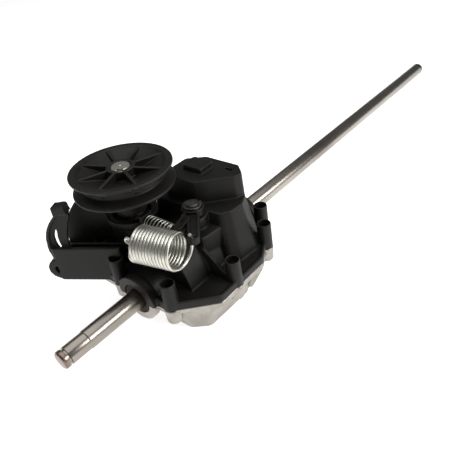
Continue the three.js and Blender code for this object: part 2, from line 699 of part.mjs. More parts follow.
addPart(axleGroup, 'axle', axle(), steel());
addPart(axleGroup, 'clutch_drive_pin', drivePin, steel(), [drivePinX, 0, 0]);
addPart(axleGroup, 'near_thrust_washer', washer(11, 1.6), steel(), [cavityNear + 0.8, 0, 0]);
addPart(axleGroup, 'far_thrust_washer', washer(11, 1.6), steel(), [endWasherX + 0.3, 0, 0]);
addPart(axleGroup, 'wheel_circlip', axleClip(), steel(), [wheelClipX + 0.05, 0, 0]);
addPart(axleGroup, 'end_circlip', axleClip(), steel(), [endWasherX - 1.55, 0, 0]);

// ---- Clutch cone, sliding on the axle and driven by the cross pin ----
const clutchGroup = subGroup([0, 0, 0]);
const grooveHalf = fingerRadius + 0.8;

function clutchCone() {
  const tip = wheelWidth / 2 - recessDepth + coneRestGap + 0.5;
  const coneAt = (x) => coneRadius + (x - coneRestGap - wheelWidth / 2) * Math.tan(coneAngle);
  const coneEnd = wheelWidth / 2 + 3;
  const collarTop = 14;
  const grooveFloor = 9.6;
  const bore = axleRadius + gap / 2;
  const grooveX = leverPivot[0];
  const hubEnd = drivePinX + 6.5;
  const [grooveStart, grooveEnd] = [grooveX - grooveHalf, grooveX + grooveHalf];
  const body = turnedAlongX([
    [bore, tip + 2.4], [10.5, tip + 2.4], [10.5, tip], [coneAt(tip), tip], [coneAt(coneEnd), coneEnd],
    [collarTop, coneEnd], [collarTop, grooveStart], [grooveFloor, grooveStart], [grooveFloor, grooveEnd],
    [collarTop, grooveEnd], [collarTop, grooveEnd + 2.6], [11, grooveEnd + 2.6], [11, hubEnd], [bore, hubEnd],
  ]);
  const slotHalf = drivePinRadius + gap;
  const slot = box(
    [drivePinX - slotHalf, -slotHalf, -12], [drivePinX + slotHalf + coneTravel, slotHalf, 12],
  );
  return cut(body, slot);
}

addPart(clutchGroup, 'clutch_cone', clutchCone(), castAluminium());

// ---- Clutch lever on its vertical shaft ----
const leverGroup = subGroup([...leverPivot, 0]);
const springHeading = [Math.cos(bigSpringHeading), Math.sin(bigSpringHeading)];
const springSide = [springHeading[1], -springHeading[0]];
const looseShare = 0.83;
const hookHole = [0, 1].map((i) => bigSpringStart[i] - springHeading[i] * bigSpringLooseEnd * looseShare
  + springSide[i] * bigSpringRadius * 0.95);
const armTip = [hookHole[0] - leverPivot[0], hookHole[1] - leverPivot[1]];
const tabHalf = 4;
const tabCentre = [thinSpringX - leverPivot[0], thinSpringEnd - 2.2 - leverPivot[1]];

function leverShaft() {
  const plate = link([0, 0], [0, -fingerOffset], leverShaftRadius, fingerRadius + 0.5, 17.3, 20.8);
  const finger = upright(fingerRadius, -5, 17.4, 0, -fingerOffset, small);
  const stem = upright(leverShaftRadius, 20.7, leverHeight + 7, 0, 0, 20);
  const clipGroove = ring(
    leverShaftRadius + 1, leverShaftRadius - 0.7, leverHeight + 4.9, leverHeight + 6.2, 20,
  );
  return cut(join(plate, finger, stem), clipGroove);
}

function clutchLever() {
  const top = leverHeight + leverThickness;
  const hub = upright(7, leverHeight, leverHeight + 4.7, 0, 0, 20);
  const longArm = link([0, 0], armTip, 3.6, 3.3, leverHeight, top);
  const shortTip = [tabCentre[0], tabCentre[1] - 2.6];
  const shortArm = link([0, 0], shortTip, 3.4, 2.6, leverHeight, top);
  const tab = box(
    [tabCentre[0] - tabHalf, tabCentre[1] - 1.6, thinSpringHeight - 4.5],
    [tabCentre[0] + tabHalf, tabCentre[1] + 1.6, top],
  );
  return cut(join(hub, longArm, shortArm, tab),
    upright(leverShaftRadius + gap, leverHeight - 1, leverHeight + 6, 0, 0, 20),
    upright(bigWire + 1, leverHeight - 1, top + 1, ...armTip, small));
}

addPart(leverGroup, 'clutch_lever', clutchLever(), nylon());
addPart(leverGroup, 'lever_shaft', leverShaft(), steel());
addPart(leverGroup, 'lever_circlip', circlip(leverShaftRadius - 0.4, leverShaftRadius + 2, 0.9), steel(),
  [0, 0, leverHeight + 5.1]);

// ---- Springs ----
// Close-wound cable spring: a loose end turn threads the lever's hole, and the far end's eye takes the cable
function cableSpring() {
  const perTurn = 10;
  const at = (along, across, up) => new THREE.Vector3(
    bigSpringStart[0] + springHeading[0] * along + springSide[0] * across,
    bigSpringStart[1] + springHeading[1] * along + springSide[1] * across,
    bigSpringHeight + up);
  const firstAngle = 225 * Math.PI / 180;
  const points = [];
  const turnPoint = (i) => {
    const angle = firstAngle + 2 * Math.PI * i / perTurn;
    const along = i < 0 ? bigSpringLooseEnd * i / (perTurn / 2) : bigSpringPitch * i / perTurn;
    return at(along, bigSpringRadius * Math.cos(angle), bigSpringRadius * Math.sin(angle));
  };
  for (let i = -perTurn / 2; i <= bigSpringTurns * perTurn; i++) points.push(turnPoint(i));
  const end = bigSpringPitch * bigSpringTurns;
  const r = bigSpringRadius;
  points.push(at(end + 1.4, -0.35 * r, -0.8 * r), at(end + 2.4, 0, -0.45 * r));
  points.push(at(end + 4.2, 0.02 * r, -0.2 * r), at(end + 6.2, 0, 0));
  points.push(at(end + 5, 0, 2.1), at(end + 3.1, 0, 1.6));
  return wire(points, bigWire, (bigSpringTurns + 1) * perTurn + 14, 6);
}

// Open compression spring between the case's post and the lever's tab
function returnSpring() {
  const perTurn = 8;
  const length = springPostY - gap - thinSpringEnd;
  const closedTurns = 1;
  const totalTurns = thinSpringTurns + 2 * closedTurns;
  const closedPitch = 2 * thinWire + 0.15;
  const openPitch = (length - 2 * thinWire - 2 * closedTurns * closedPitch) / thinSpringTurns;
  const points = [];
  for (let i = 0; i <= totalTurns * perTurn; i++) {
    const turns = i / perTurn;
    const open = Math.min(Math.max(turns - closedTurns, 0), thinSpringTurns);
    const along = thinWire + closedPitch * (turns - open) + openPitch * open;
    const angle = 2 * Math.PI * turns;
    points.push(new THREE.Vector3(thinSpringX + thinSpringRadius * Math.cos(angle), thinSpringEnd + along,
      thinSpringHeight + thinSpringRadius * Math.sin(angle)));
  }
  return wire(points, thinWire, totalTurns * perTurn, 4);
}

const springs = subGroup([0, 0, 0]);
addPart(springs, 'cable_spring', cableSpring(), springSteel());
addPart(springs, 'lever_return_spring', returnSpring(), springSteel());

export default assembly;
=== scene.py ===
import json
import math

import bmesh
import bpy
from mathutils import Matrix, Vector


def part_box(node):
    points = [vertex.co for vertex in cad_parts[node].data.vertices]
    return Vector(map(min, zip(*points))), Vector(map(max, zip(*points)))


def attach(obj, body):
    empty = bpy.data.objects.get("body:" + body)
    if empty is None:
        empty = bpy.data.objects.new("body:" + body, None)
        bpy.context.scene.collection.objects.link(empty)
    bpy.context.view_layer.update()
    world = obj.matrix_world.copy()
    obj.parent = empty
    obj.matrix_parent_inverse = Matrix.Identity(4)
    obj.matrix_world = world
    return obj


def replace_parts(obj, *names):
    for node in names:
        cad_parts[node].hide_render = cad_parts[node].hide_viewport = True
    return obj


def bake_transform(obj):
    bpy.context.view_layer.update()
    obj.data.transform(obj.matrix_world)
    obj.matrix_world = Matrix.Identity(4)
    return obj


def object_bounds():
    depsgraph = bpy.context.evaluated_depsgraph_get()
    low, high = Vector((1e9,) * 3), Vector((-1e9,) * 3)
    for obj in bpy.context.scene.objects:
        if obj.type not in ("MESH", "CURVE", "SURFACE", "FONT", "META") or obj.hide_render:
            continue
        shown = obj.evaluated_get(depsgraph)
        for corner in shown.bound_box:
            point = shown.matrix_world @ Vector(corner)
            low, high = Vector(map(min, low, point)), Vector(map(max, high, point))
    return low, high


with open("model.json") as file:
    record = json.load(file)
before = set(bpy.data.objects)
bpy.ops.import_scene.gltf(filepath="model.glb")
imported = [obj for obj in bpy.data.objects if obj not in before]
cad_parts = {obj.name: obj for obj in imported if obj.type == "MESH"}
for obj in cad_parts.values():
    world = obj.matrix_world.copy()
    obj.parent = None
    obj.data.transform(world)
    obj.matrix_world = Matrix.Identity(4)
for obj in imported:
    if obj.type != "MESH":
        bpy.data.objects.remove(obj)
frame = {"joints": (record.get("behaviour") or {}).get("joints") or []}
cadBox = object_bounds()
scene = bpy.context.scene
mm = 0.001


def middle(node):  # centre of a CAD node, in mm
    low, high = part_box(node)
    return (low + high) / 2 / mm


joints = {joint["name"]: joint for joint in frame["joints"]}
inputSpot = [value / mm for value in joints["input_spin"]["pos_m"]][:2]
leverSpot = [value / mm for value in joints["clutch_lever"]["pos_m"]][:2]
screwSpots = [tuple(middle(f"case_screw_{i}")[:2]) for i in range(1, 9)]


# making meshes: outlines are drawn in mm, and the meshes hold metres
def newPiece(name, mesh):
    piece = bpy.data.objects.new(name, mesh)
    scene.collection.objects.link(piece)
    return piece


def closedMesh(name, vertices, faces):  # vertices in mm; merges poles and points the faces outwards
    mesh = bpy.data.meshes.new(name)
    mesh.from_pydata([Vector(vertex) * mm for vertex in vertices], [], faces)
    work = bmesh.new()
    work.from_mesh(mesh)
    bmesh.ops.remove_doubles(work, verts=work.verts, dist=1e-7)
    bmesh.ops.dissolve_degenerate(work, edges=work.edges, dist=1e-8)
    bmesh.ops.recalc_face_normals(work, faces=work.faces)
    work.to_mesh(mesh)
    work.free()
    return newPiece(name, mesh)


def softCorners(points, radius, steps=5, keepOnAxis=False):
    rounded = []
    for i, spot in enumerate(points):
        corner = Vector(spot)
        before = Vector(points[i - 1]) - corner
        after = Vector(points[(i + 1) % len(points)]) - corner
        straight = before.length < 1e-6 or after.length < 1e-6 or abs(before.angle(after) - math.pi) < 0.02
        if radius <= 0 or straight or (keepOnAxis and corner.x < 1e-6):
            rounded.append(tuple(corner))
            continue
        reach = min(radius / math.tan(before.angle(after) / 2), 0.48 * before.length, 0.48 * after.length)
        start, end = corner + before.normalized() * reach, corner + after.normalized() * reach
        for step in range(steps + 1):
            t = step / steps
            rounded.append(tuple(start.lerp(corner, t).lerp(corner.lerp(end, t), t)))
    return rounded


def raised(points, low, high, corner=0.0, topScale=1.0, centre=(0, 0)):
    outline = softCorners(points, corner)
    count = len(outline)
    vertices = [(x, y, low) for x, y in outline]
    vertices += [(centre[0] + (x - centre[0]) * topScale, centre[1] + (y - centre[1]) * topScale, high)
                 for x, y in outline]
    faces = [list(range(count))[::-1], list(range(count, 2 * count))]
    faces += [(i, (i + 1) % count, (i + 1) % count + count, i + count) for i in range(count)]
    return closedMesh("raised", vertices, faces)


def turned(profile, sides=96, corner=0.0):  # (radius, height) points about Z
    points = softCorners(profile, corner, 3, keepOnAxis=True)
    vertices, faces = [], []
    for side in range(sides):
        angle = 2 * math.pi * side / sides
        vertices += [(r * math.cos(angle), r * math.sin(angle), z) for r, z in points]
    count = len(points)
    for side in range(sides):
        here, there = side * count, (side + 1) % sides * count
        faces += [(here + i, there + i, there + (i + 1) % count, here + (i + 1) % count)
                  for i in range(count)]
    return closedMesh("turned", vertices, faces)


def post(radius, low, high, x=0.0, y=0.0, sides=64, topRadius=None):
    top = radius if topRadius is None else topRadius
    return moved(turned([(0, low), (radius, low), (top, high), (0, high)], sides), x, y, 0)


def block(low, high, corner=0.0):
    outline = [(low[0], low[1]), (high[0], low[1]), (high[0], high[1]), (low[0], high[1])]
    return raised(outline, low[2], high[2], corner)


def moved(piece, x, y, z):
    piece.data.transform(Matrix.Translation(Vector((x, y, z)) * mm))
    return piece


def swung(piece, degrees, axis):
    piece.data.transform(Matrix.Rotation(math.radians(degrees), 4, axis))
    return piece


def alongX(profile, sides=96, corner=0.0):
    return swung(turned(profile, sides, corner), 90, "Y")


def rodX(radius, start, end, sides=96):
    return alongX([(0, start), (radius, start), (radius, end), (0, end)], sides)


def stoodUp(piece):  # turns an outline in X and Y to one in Y and Z, thick along the axle
    uprightTurn = Matrix.Rotation(math.radians(90), 4, "Z") @ Matrix.Rotation(math.radians(90), 4, "X")
    piece.data.transform(uprightTurn)
    return piece


def settle(piece):  # puts the modifiers into the mesh
    evaluated = piece.evaluated_get(bpy.context.evaluated_depsgraph_get())
    finished = bpy.data.meshes.new_from_object(evaluated)
    piece.modifiers.clear()
    piece.data = finished
    return piece


def bevelled(piece, width, angle):  # small rounds on the edges sharper than the angle
    bevel = piece.modifiers.new("edges", "BEVEL")
    bevel.width, bevel.segments = width * mm, 2
    bevel.limit_method, bevel.angle_limit = "ANGLE", math.radians(angle)
    return settle(piece)


def combine(piece, others, operation):
    for other in others:
        boolean = piece.modifiers.new(operation.lower(), "BOOLEAN")
        boolean.solver = "MANIFOLD"
        boolean.operation = operation
        boolean.object = other
    settle(piece)
    for other in others:
        bpy.data.objects.remove(other)
    return piece


def moulded(piece, voxel, passes, triangles):  # fuses the solids and rounds every edge, as a mould does
    remesh = piece.modifiers.new("fuse", "REMESH")
    remesh.mode, remesh.voxel_size = "VOXEL", voxel * mm
    soften = piece.modifiers.new("soften", "SMOOTH")
    soften.factor, soften.iterations = 0.5, passes
    settle(piece)
    count = sum(len(face.vertices) - 2 for face in piece.data.polygons)
    if count > triangles:
        thin = piece.modifiers.new("thin", "DECIMATE")
        thin.ratio = triangles / count
        settle(piece)
    return smoothShaded(piece)


def smoothShaded(piece, sharpAngle=None):
    piece.data.polygons.foreach_set("use_smooth", [True] * len(piece.data.polygons))
    if sharpAngle is not None:
        piece.data.set_sharp_from_angle(angle=math.radians(sharpAngle))
    return piece


def seat(piece, name, body, finish, slot, *stands):
    piece.name = piece.data.name = name
    if finish is not None:
        piece.data.materials.clear()
        piece.data.materials.append(finish)
    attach(piece, body)
    if stands:
        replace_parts(piece, *stands)
    return piece


# finishes: procedural, on Object coordinates
def colour(code):
    channels = [int(code[i:i + 2], 16) / 255 for i in (1, 3, 5)]
    return [c / 12.92 if c <= 0.04045 else ((c + 0.055) / 1.055) ** 2.4 for c in channels] + [1.0]


def addNode(tree, kind, settings=None, links=None):
    node = tree.nodes.new(kind)
    for key, value in (settings or {}).items():
        if isinstance(key, int) or key in node.inputs:
            node.inputs[key].default_value = value
        else:
            setattr(node, key, value)
    for key, source in (links or {}).items():
        tree.links.new(source, node.inputs[key])
    return node


def newFinish(name, settings):
    finish = bpy.data.materials.new(name)
    finish.use_nodes = True
    tree = finish.node_tree
    tree.nodes.clear()
    shader = addNode(tree, "ShaderNodeBsdfPrincipled", settings)
    addNode(tree, "ShaderNodeOutputMaterial", {}, {"Surface": shader.outputs["BSDF"]})
    place = addNode(tree, "ShaderNodeTexCoord").outputs["Object"]
    return finish, tree, shader, place


def between(tree, factor, low, high):  # a value that runs from low to high as the pattern runs from 0 to 1
    return addNode(tree, "ShaderNodeMapRange", {"To Min": low, "To Max": high},
                   {"Value": factor}).outputs["Result"]


def tinted(tree, factor, dark, light, start=0.3, end=0.7):
    ramp = addNode(tree, "ShaderNodeValToRGB", {}, {"Fac": factor})
    ramp.color_ramp.elements[0].position, ramp.color_ramp.elements[0].color = start, colour(dark)
    ramp.color_ramp.elements[1].position, ramp.color_ramp.elements[1].color = end, colour(light)
    return ramp.outputs["Color"]


def speckle(tree, place, size, detail=3.0, stretch=(1, 1, 1)):  # size of the grain in mm
    spread = addNode(tree, "ShaderNodeMapping", {"Scale": stretch}, {"Vector": place})
    noise = addNode(tree, "ShaderNodeTexNoise",
                    {"Scale": 1 / (size * mm), "Detail": detail, "Roughness": 0.55},
                    {"Vector": spread.outputs["Vector"]})
    return noise.outputs["Fac"]


def relief(tree, height, depth):  # depth of the bumps in mm
    bump = addNode(tree, "ShaderNodeBump", {"Distance": depth * mm, "Strength": 1.0}, {"Height": height})
    return bump.outputs["Normal"]


# Glass-filled nylon 66, injection moulded in a spark-eroded tool: matt near-black with a fine even grain,
# faint grey flow clouds and paler convex edges, partly rubbed wear and partly a painted highlight
def glassFilledNylon(name, dark, light, roughness, grain, edge):
    finish, tree, shader, place = newFinish(name, {"IOR": 1.53, "Specular IOR Level": 0.2})
    clouds = speckle(tree, place, 22, 4)
    fibres = speckle(tree, place, 0.55, 2, (1, 0.35, 1))
    body = tinted(tree, clouds, dark, light)
    pointiness = addNode(tree, "ShaderNodeNewGeometry").outputs["Pointiness"]
    # convex edges are painted paler: partly rubbed wear, partly a painted highlight
    rubbedWearAndHighlight = addNode(tree, "ShaderNodeMapRange", {"From Min": 0.515, "From Max": 0.58},
                     {"Value": pointiness}).outputs["Result"]
    wearAndHighlightTone = addNode(tree, "ShaderNodeMix", {"data_type": "RGBA", 7: colour(edge)}, {0: rubbedWearAndHighlight, 6: body})
    tree.links.new(wearAndHighlightTone.outputs[2], shader.inputs["Base Color"])
    tree.links.new(between(tree, fibres, roughness - 0.06, roughness + 0.08), shader.inputs["Roughness"])
    tree.links.new(relief(tree, speckle(tree, place, grain, 2), 0.02), shader.inputs["Normal"])
    return finish


# Pressure die-cast aluminium straight from the tool: pale warm grey, dull, with cold-flow clouds,
# a pebbled skin and painted shade that darkens the corners and hollows
def diecastAluminium(name, dark, light):
    finish, tree, shader, place = newFinish(name, {"Metallic": 1.0})
    clouds = speckle(tree, place, 9, 5)
    skin = speckle(tree, place, 0.7, 3)
    pointiness = addNode(tree, "ShaderNodeNewGeometry").outputs["Pointiness"]
    # painted shade: concave corners and hollows are darkened toward a dark grey, standing in for shade
    # there
    hollow = addNode(tree, "ShaderNodeMapRange", {"From Min": 0.497, "From Max": 0.465, "To Max": 0.9},
                     {"Value": pointiness}).outputs["Result"]
    stainedAndShaded = addNode(tree, "ShaderNodeMix", {"data_type": "RGBA", 7: colour("#3f3b36")},
                      {0: hollow, 6: tinted(tree, clouds, dark, light, 0.25, 0.75)})
    tree.links.new(stainedAndShaded.outputs[2], shader.inputs["Base Color"])
    tree.links.new(between(tree, clouds, 0.3, 0.44), shader.inputs["Roughness"])
    tree.links.new(relief(tree, skin, 0.012), shader.inputs["Normal"])
    return finish


# Centreless-ground bright steel bar: crisp reflections drawn out by fine rings round the bar, thin oil film
def groundSteel(name, dark, light, roughness, axis):
    finish, tree, shader, place = newFinish(name, {"Metallic": 1.0})
    along = {"X": (1, 0.04, 0.04), "Z": (0.04, 0.04, 1)}[axis]
    # real grinding lines are about 0.02 mm apart, drawn coarser to show
    rings = speckle(tree, place, 1.5, 2, along)
    film = speckle(tree, place, 30, 3, (0.4, 1, 1))
    bar = tinted(tree, film, dark, light, 0.3, 0.7)
    alongBar = addNode(tree, "ShaderNodeSeparateXYZ", {}, {"Vector": place}).outputs["X"]
    # the bar's near end is browned where it was cut
    cutEnd = addNode(tree, "ShaderNodeMapRange",
                     {"From Min": -84 * mm, "From Max": -89 * mm, "To Max": 0.75}, {"Value": alongBar})
    stainedAndShaded = addNode(tree, "ShaderNodeMix", {"data_type": "RGBA", 7: colour("#6b4f47")},
                      {0: cutEnd.outputs["Result"], 6: bar})
    tree.links.new(stainedAndShaded.outputs[2], shader.inputs["Base Color"])
    tree.links.new(between(tree, rings, roughness - 0.03, roughness + 0.05), shader.inputs["Roughness"])
    tree.links.new(relief(tree, rings, 0.0001), shader.inputs["Normal"])
    return finish


# Turned or pressed machine steel: grey with fine machining marks; also hardened bearing steel when smoother
def machinedMetal(name, dark, light, roughness, mark=0.3, depth=0.003, stretch=(1, 1, 1)):
    finish, tree, shader, place = newFinish(name, {"Metallic": 1.0})
    marks = speckle(tree, place, mark, 4, stretch)
    tone = speckle(tree, place, 4, 3)
    tree.links.new(tinted(tree, tone, dark, light), shader.inputs["Base Color"])
    tree.links.new(between(tree, marks, roughness - 0.06, roughness + 0.1), shader.inputs["Roughness"])
    tree.links.new(relief(tree, marks, depth), shader.inputs["Normal"])
    return finish


# Nitrile rubber lip seal, compression moulded: brown, matt, slightly dusty
def nitrileRubber(name, dark, light):
    finish, tree, shader, place = newFinish(name, {"IOR": 1.52, "Specular IOR Level": 0.35})
    dust = speckle(tree, place, 1.2, 4)
    tree.links.new(tinted(tree, dust, dark, light), shader.inputs["Base Color"])
    tree.links.new(between(tree, dust, 0.7, 0.88), shader.inputs["Roughness"])
    tree.links.new(relief(tree, speckle(tree, place, 0.3, 2), 0.015), shader.inputs["Normal"])
    return finish


finishes = {
    "black_nylon": glassFilledNylon("glassFilledNylonCase", "#121110", "#1c1b19", 0.48, 0.45, "#3a3834"),
    "pulley_nylon": glassFilledNylon("glassFilledNylonPulley", "#151412", "#201f1d", 0.42, 0.35,
                                     "#403e39"),
    "lever_nylon": glassFilledNylon("glassFilledNylonLever", "#131211", "#1d1c1a", 0.42, 0.35,
                                    "#3a3834"),
    "cast_aluminium": diecastAluminium("diecastAluminiumCase", "#88847d", "#b0aca5"),
    "cone_aluminium": machinedMetal("turnedAluminiumCone", "#b9b8b4", "#d5d4d0", 0.32, 0.25, 0.004,
                                    (1, 0.1, 0.1)),
    "screw_steel": machinedMetal("zincPlatedScrewSteel", "#9c9fa2", "#c3c6c9", 0.3, 0.5),
    "sintered_bronze": machinedMetal("sinteredBronzeBush", "#6e4f2a", "#9a7443", 0.5, 0.22, 0.02),
    "brown_rubber": nitrileRubber("brownNitrileSeal", "#221612", "#38251d"),
    "bearing_steel": machinedMetal("polishedBearingSteel", "#b4b3b0", "#cfcecb", 0.18, 0.4, 0.001),
    "ground_steel": groundSteel("groundSteelBar", "#827c75", "#a7a199", 0.27, "X"),
    "shaft_steel": groundSteel("groundSteelShaft", "#c9c4bb", "#e2ded6", 0.3, "Z"),
    "clip_steel": machinedMetal("phosphatedSpringClip", "#4a4845", "#6b6863", 0.42, 0.25),
    "wheel_bronze": machinedMetal("machinedBronzeWheel", "#8a6432", "#b78b4c", 0.34, 0.25, 0.004),
    "spring_steel": machinedMetal("zincPlatedMusicWire", "#c3c2b9", "#dad9d0", 0.33, 3, 0.0003),
    "spring_steel_fine": machinedMetal("zincPlatedFineWire", "#acaba2", "#c8c7be", 0.33, 3, 0.0003),
}
print("finishes ready")

# upper housing: one moulding with a flange, wheel hump, clutch dome, lever tower, input cup and belt guard
housingShape = {
    "voxel": 0.5, "softenPasses": 5, "triangles": 190000, "flangeThickness": 3.6, "rimWidth": 1.8,
    "rimHeight": 1.3, "bossRadius": 4.9, "bossHeight": 18, "screwSeat": 9, "screwHole": 2.3,
    "headHole": 3.7, "cupRadius": 14.8, "cupBore": 12.3, "cupTop": 34, "bearingSeat": 21.5,
    "humpRadius": 27.9, "chamberRadius": 25.4, "clutchRadius": 23.9, "wellRadius": 10.4, "domeTop": 34,
    "towerTop": 50, "blockTop": 54, "leverBossTop": 34.4, "collarRadius": 15, "nearFace": -34,
    "farFace": 71.5, "sealBore": 10, "sealDepth": 3.2, "bushBore": 9, "armHeading": 120.7,
    "armLength": 41, "armDepth": 22, "armHeight": 25, "armWall": 2.6, "guardHeight": 46,
    "partingGap": 0.15,
}
flangeLine = [(-31, -20), (-27, -28), (-9, -46), (32, -46), (66, -27), (70, -20), (70, 26), (40, 50),
              (-22, 50), (-31, 34)]


# an outline drawn in by the same distance all round (corners run anticlockwise)
def inset(points, distance):
    drawn = []
    for i, spot in enumerate(points):
        a, b, c = Vector(points[i - 1]), Vector(spot), Vector(points[(i + 1) % len(points)])
        inOne = Vector((-(b - a).y, (b - a).x)).normalized()
        inTwo = Vector((-(c - b).y, (c - b).x)).normalized()
        half = (inOne + inTwo).normalized()
        drawn.append(tuple(b + half * distance / max(0.3, half.dot(inOne))))
    return drawn


def caseChambers():  # everything hollow inside the case
    h = housingShape
    nearSeal, farSeal = h["nearFace"] + h["sealDepth"], h["farFace"] - h["sealDepth"]
    return [
        rodX(h["chamberRadius"], -12, 10.5),
        rodX(h["clutchRadius"], 10.4, 52),
        post(h["wellRadius"], -15, h["bearingSeat"] + 0.1, *inputSpot),
        post(7.3, -22, 0, *inputSpot),
        rodX(h["bushBore"], nearSeal, -11.9),
        rodX(h["bushBore"], 51.9, farSeal),
        rodX(h["sealBore"], h["nearFace"] - 1, nearSeal),
        rodX(h["sealBore"], farSeal, h["farFace"] + 1),
    ]


def collarSolids():  # round the axle where it leaves the case
    h, r = housingShape, housingShape["collarRadius"]
    near, far, neck = h["nearFace"], h["farFace"], r - 1.5
    return [
        alongX([(0, near), (r, near), (r, near + 5), (neck, near + 6), (neck, -12), (0, -12)]),
        alongX([(0, 52), (neck, 52), (neck, far - 6), (r, far - 5), (r, far), (0, far)]),
    ]


def bezier(a, b, c, d):
    a, b, c, d = Vector(a), Vector(b), Vector(c), Vector(d)
    steps = 14
    return [tuple(a * (1 - t) ** 3 + b * 3 * t * (1 - t) ** 2 + c * 3 * t * t * (1 - t) + d * t ** 3)
            for t in [i / steps for i in range(1, steps + 1)]]


def beltGuard():  # tray, end ear, rear wall and bowed rib, drawn along +X and then turned to the case
    h = housingShape
    length, depth, wall = h["armLength"], h["armDepth"], h["armWall"]
    height, guard = h["armHeight"], h["guardHeight"]

    # an outline in X and Z, thick in Y from front down to back
    def upright(points, front, back, corner=0.0):
        return moved(swung(raised(points, 0, front - back, corner), 90, "X"), 0, front, h["partingGap"])

    solids = [
        block((-3, -wall, h["partingGap"]), (length, 0, height), 1.2),
        block((-3, -depth, h["partingGap"]), (length, 0, 4), 1.5),
        block((length - wall, -depth, h["partingGap"]), (length, 0, height - 9), 1.2),
        block((-3, -depth + 8, h["partingGap"]), (length - 6, -depth + 10, height - 5)),
        upright([(-3, 0), (length - 8, 0), (length - 2, 14), (length - 1, 26), (length - 9, 40),
                 (length - 14, guard), (9, guard), (8, 30), (-3, 30)], -depth + wall, -depth, 2),
    ]
    ear = post(7.5, -5, 0, length - 1, 8.6)
    combine(ear, [post(3.2, -6, 1, length - 1, 8.6),
                  moved(turned([(4.2, -1.2), (6, -1.2), (6, 1), (4.2, 1)], 48), length - 1, 8.6, 0)],
            "DIFFERENCE")
    solids.append(moved(swung(ear, 90, "X"), 0, -5, h["partingGap"]))
    outer = [(length - 4, 12), (length + 0.5, 14)]
    outer += bezier(outer[-1], (length + 4, 26), (length + 2, 38), (length - 9, guard + 2))
    outer += [(length - 9, guard + 8), (length - 17, guard + 9), (length - 18, guard + 3),
              (length - 17, guard - 1)]
    outer += bezier(outer[-1], (length - 12, 36), (length - 9, 24), (length - 12, 12))[:-1]
    web = upright(outer, -3.2, -5.6)
    gap = bezier((length - 5.5, 20), (length - 1.5, 26), (length - 2, 34), (length - 7.5, 39))
    gap += bezier((length - 7.5, 39), (length - 5, 33), (length - 4.6, 26), (length - 7.5, 21))[1:]
    combine(web, [upright(gap[::-1], 0, -9)], "DIFFERENCE")
    solids.append(moved(web, 0, 0, -h["partingGap"]))
    edge = [(length - 4, 12), (length + 0.5, 14)]
    edge += bezier(edge[-1], (length + 4, 26), (length + 2, 38), (length - 9, guard + 2))
    edge += [(length - 9, guard + 8), (length - 11, guard + 8), (length - 11, guard + 2)]
    edge += bezier(edge[-1], (length + 0.2, 37.5), (length + 2, 26), (length - 1.4, 13.4))
    solids.append(moved(upright(edge, -1, -8), 0, 0, -h["partingGap"]))
    finger = [(length - 9, guard + 2), (length - 9, guard + 8), (length - 17, guard + 9),
              (length - 18, guard + 3)]
    solids.append(moved(upright(finger, -1, -8, 1), 0, 0, -h["partingGap"]))
    for solid in solids:
        moved(swung(solid, h["armHeading"], "Z"), -27, 20, 0)
    return solids


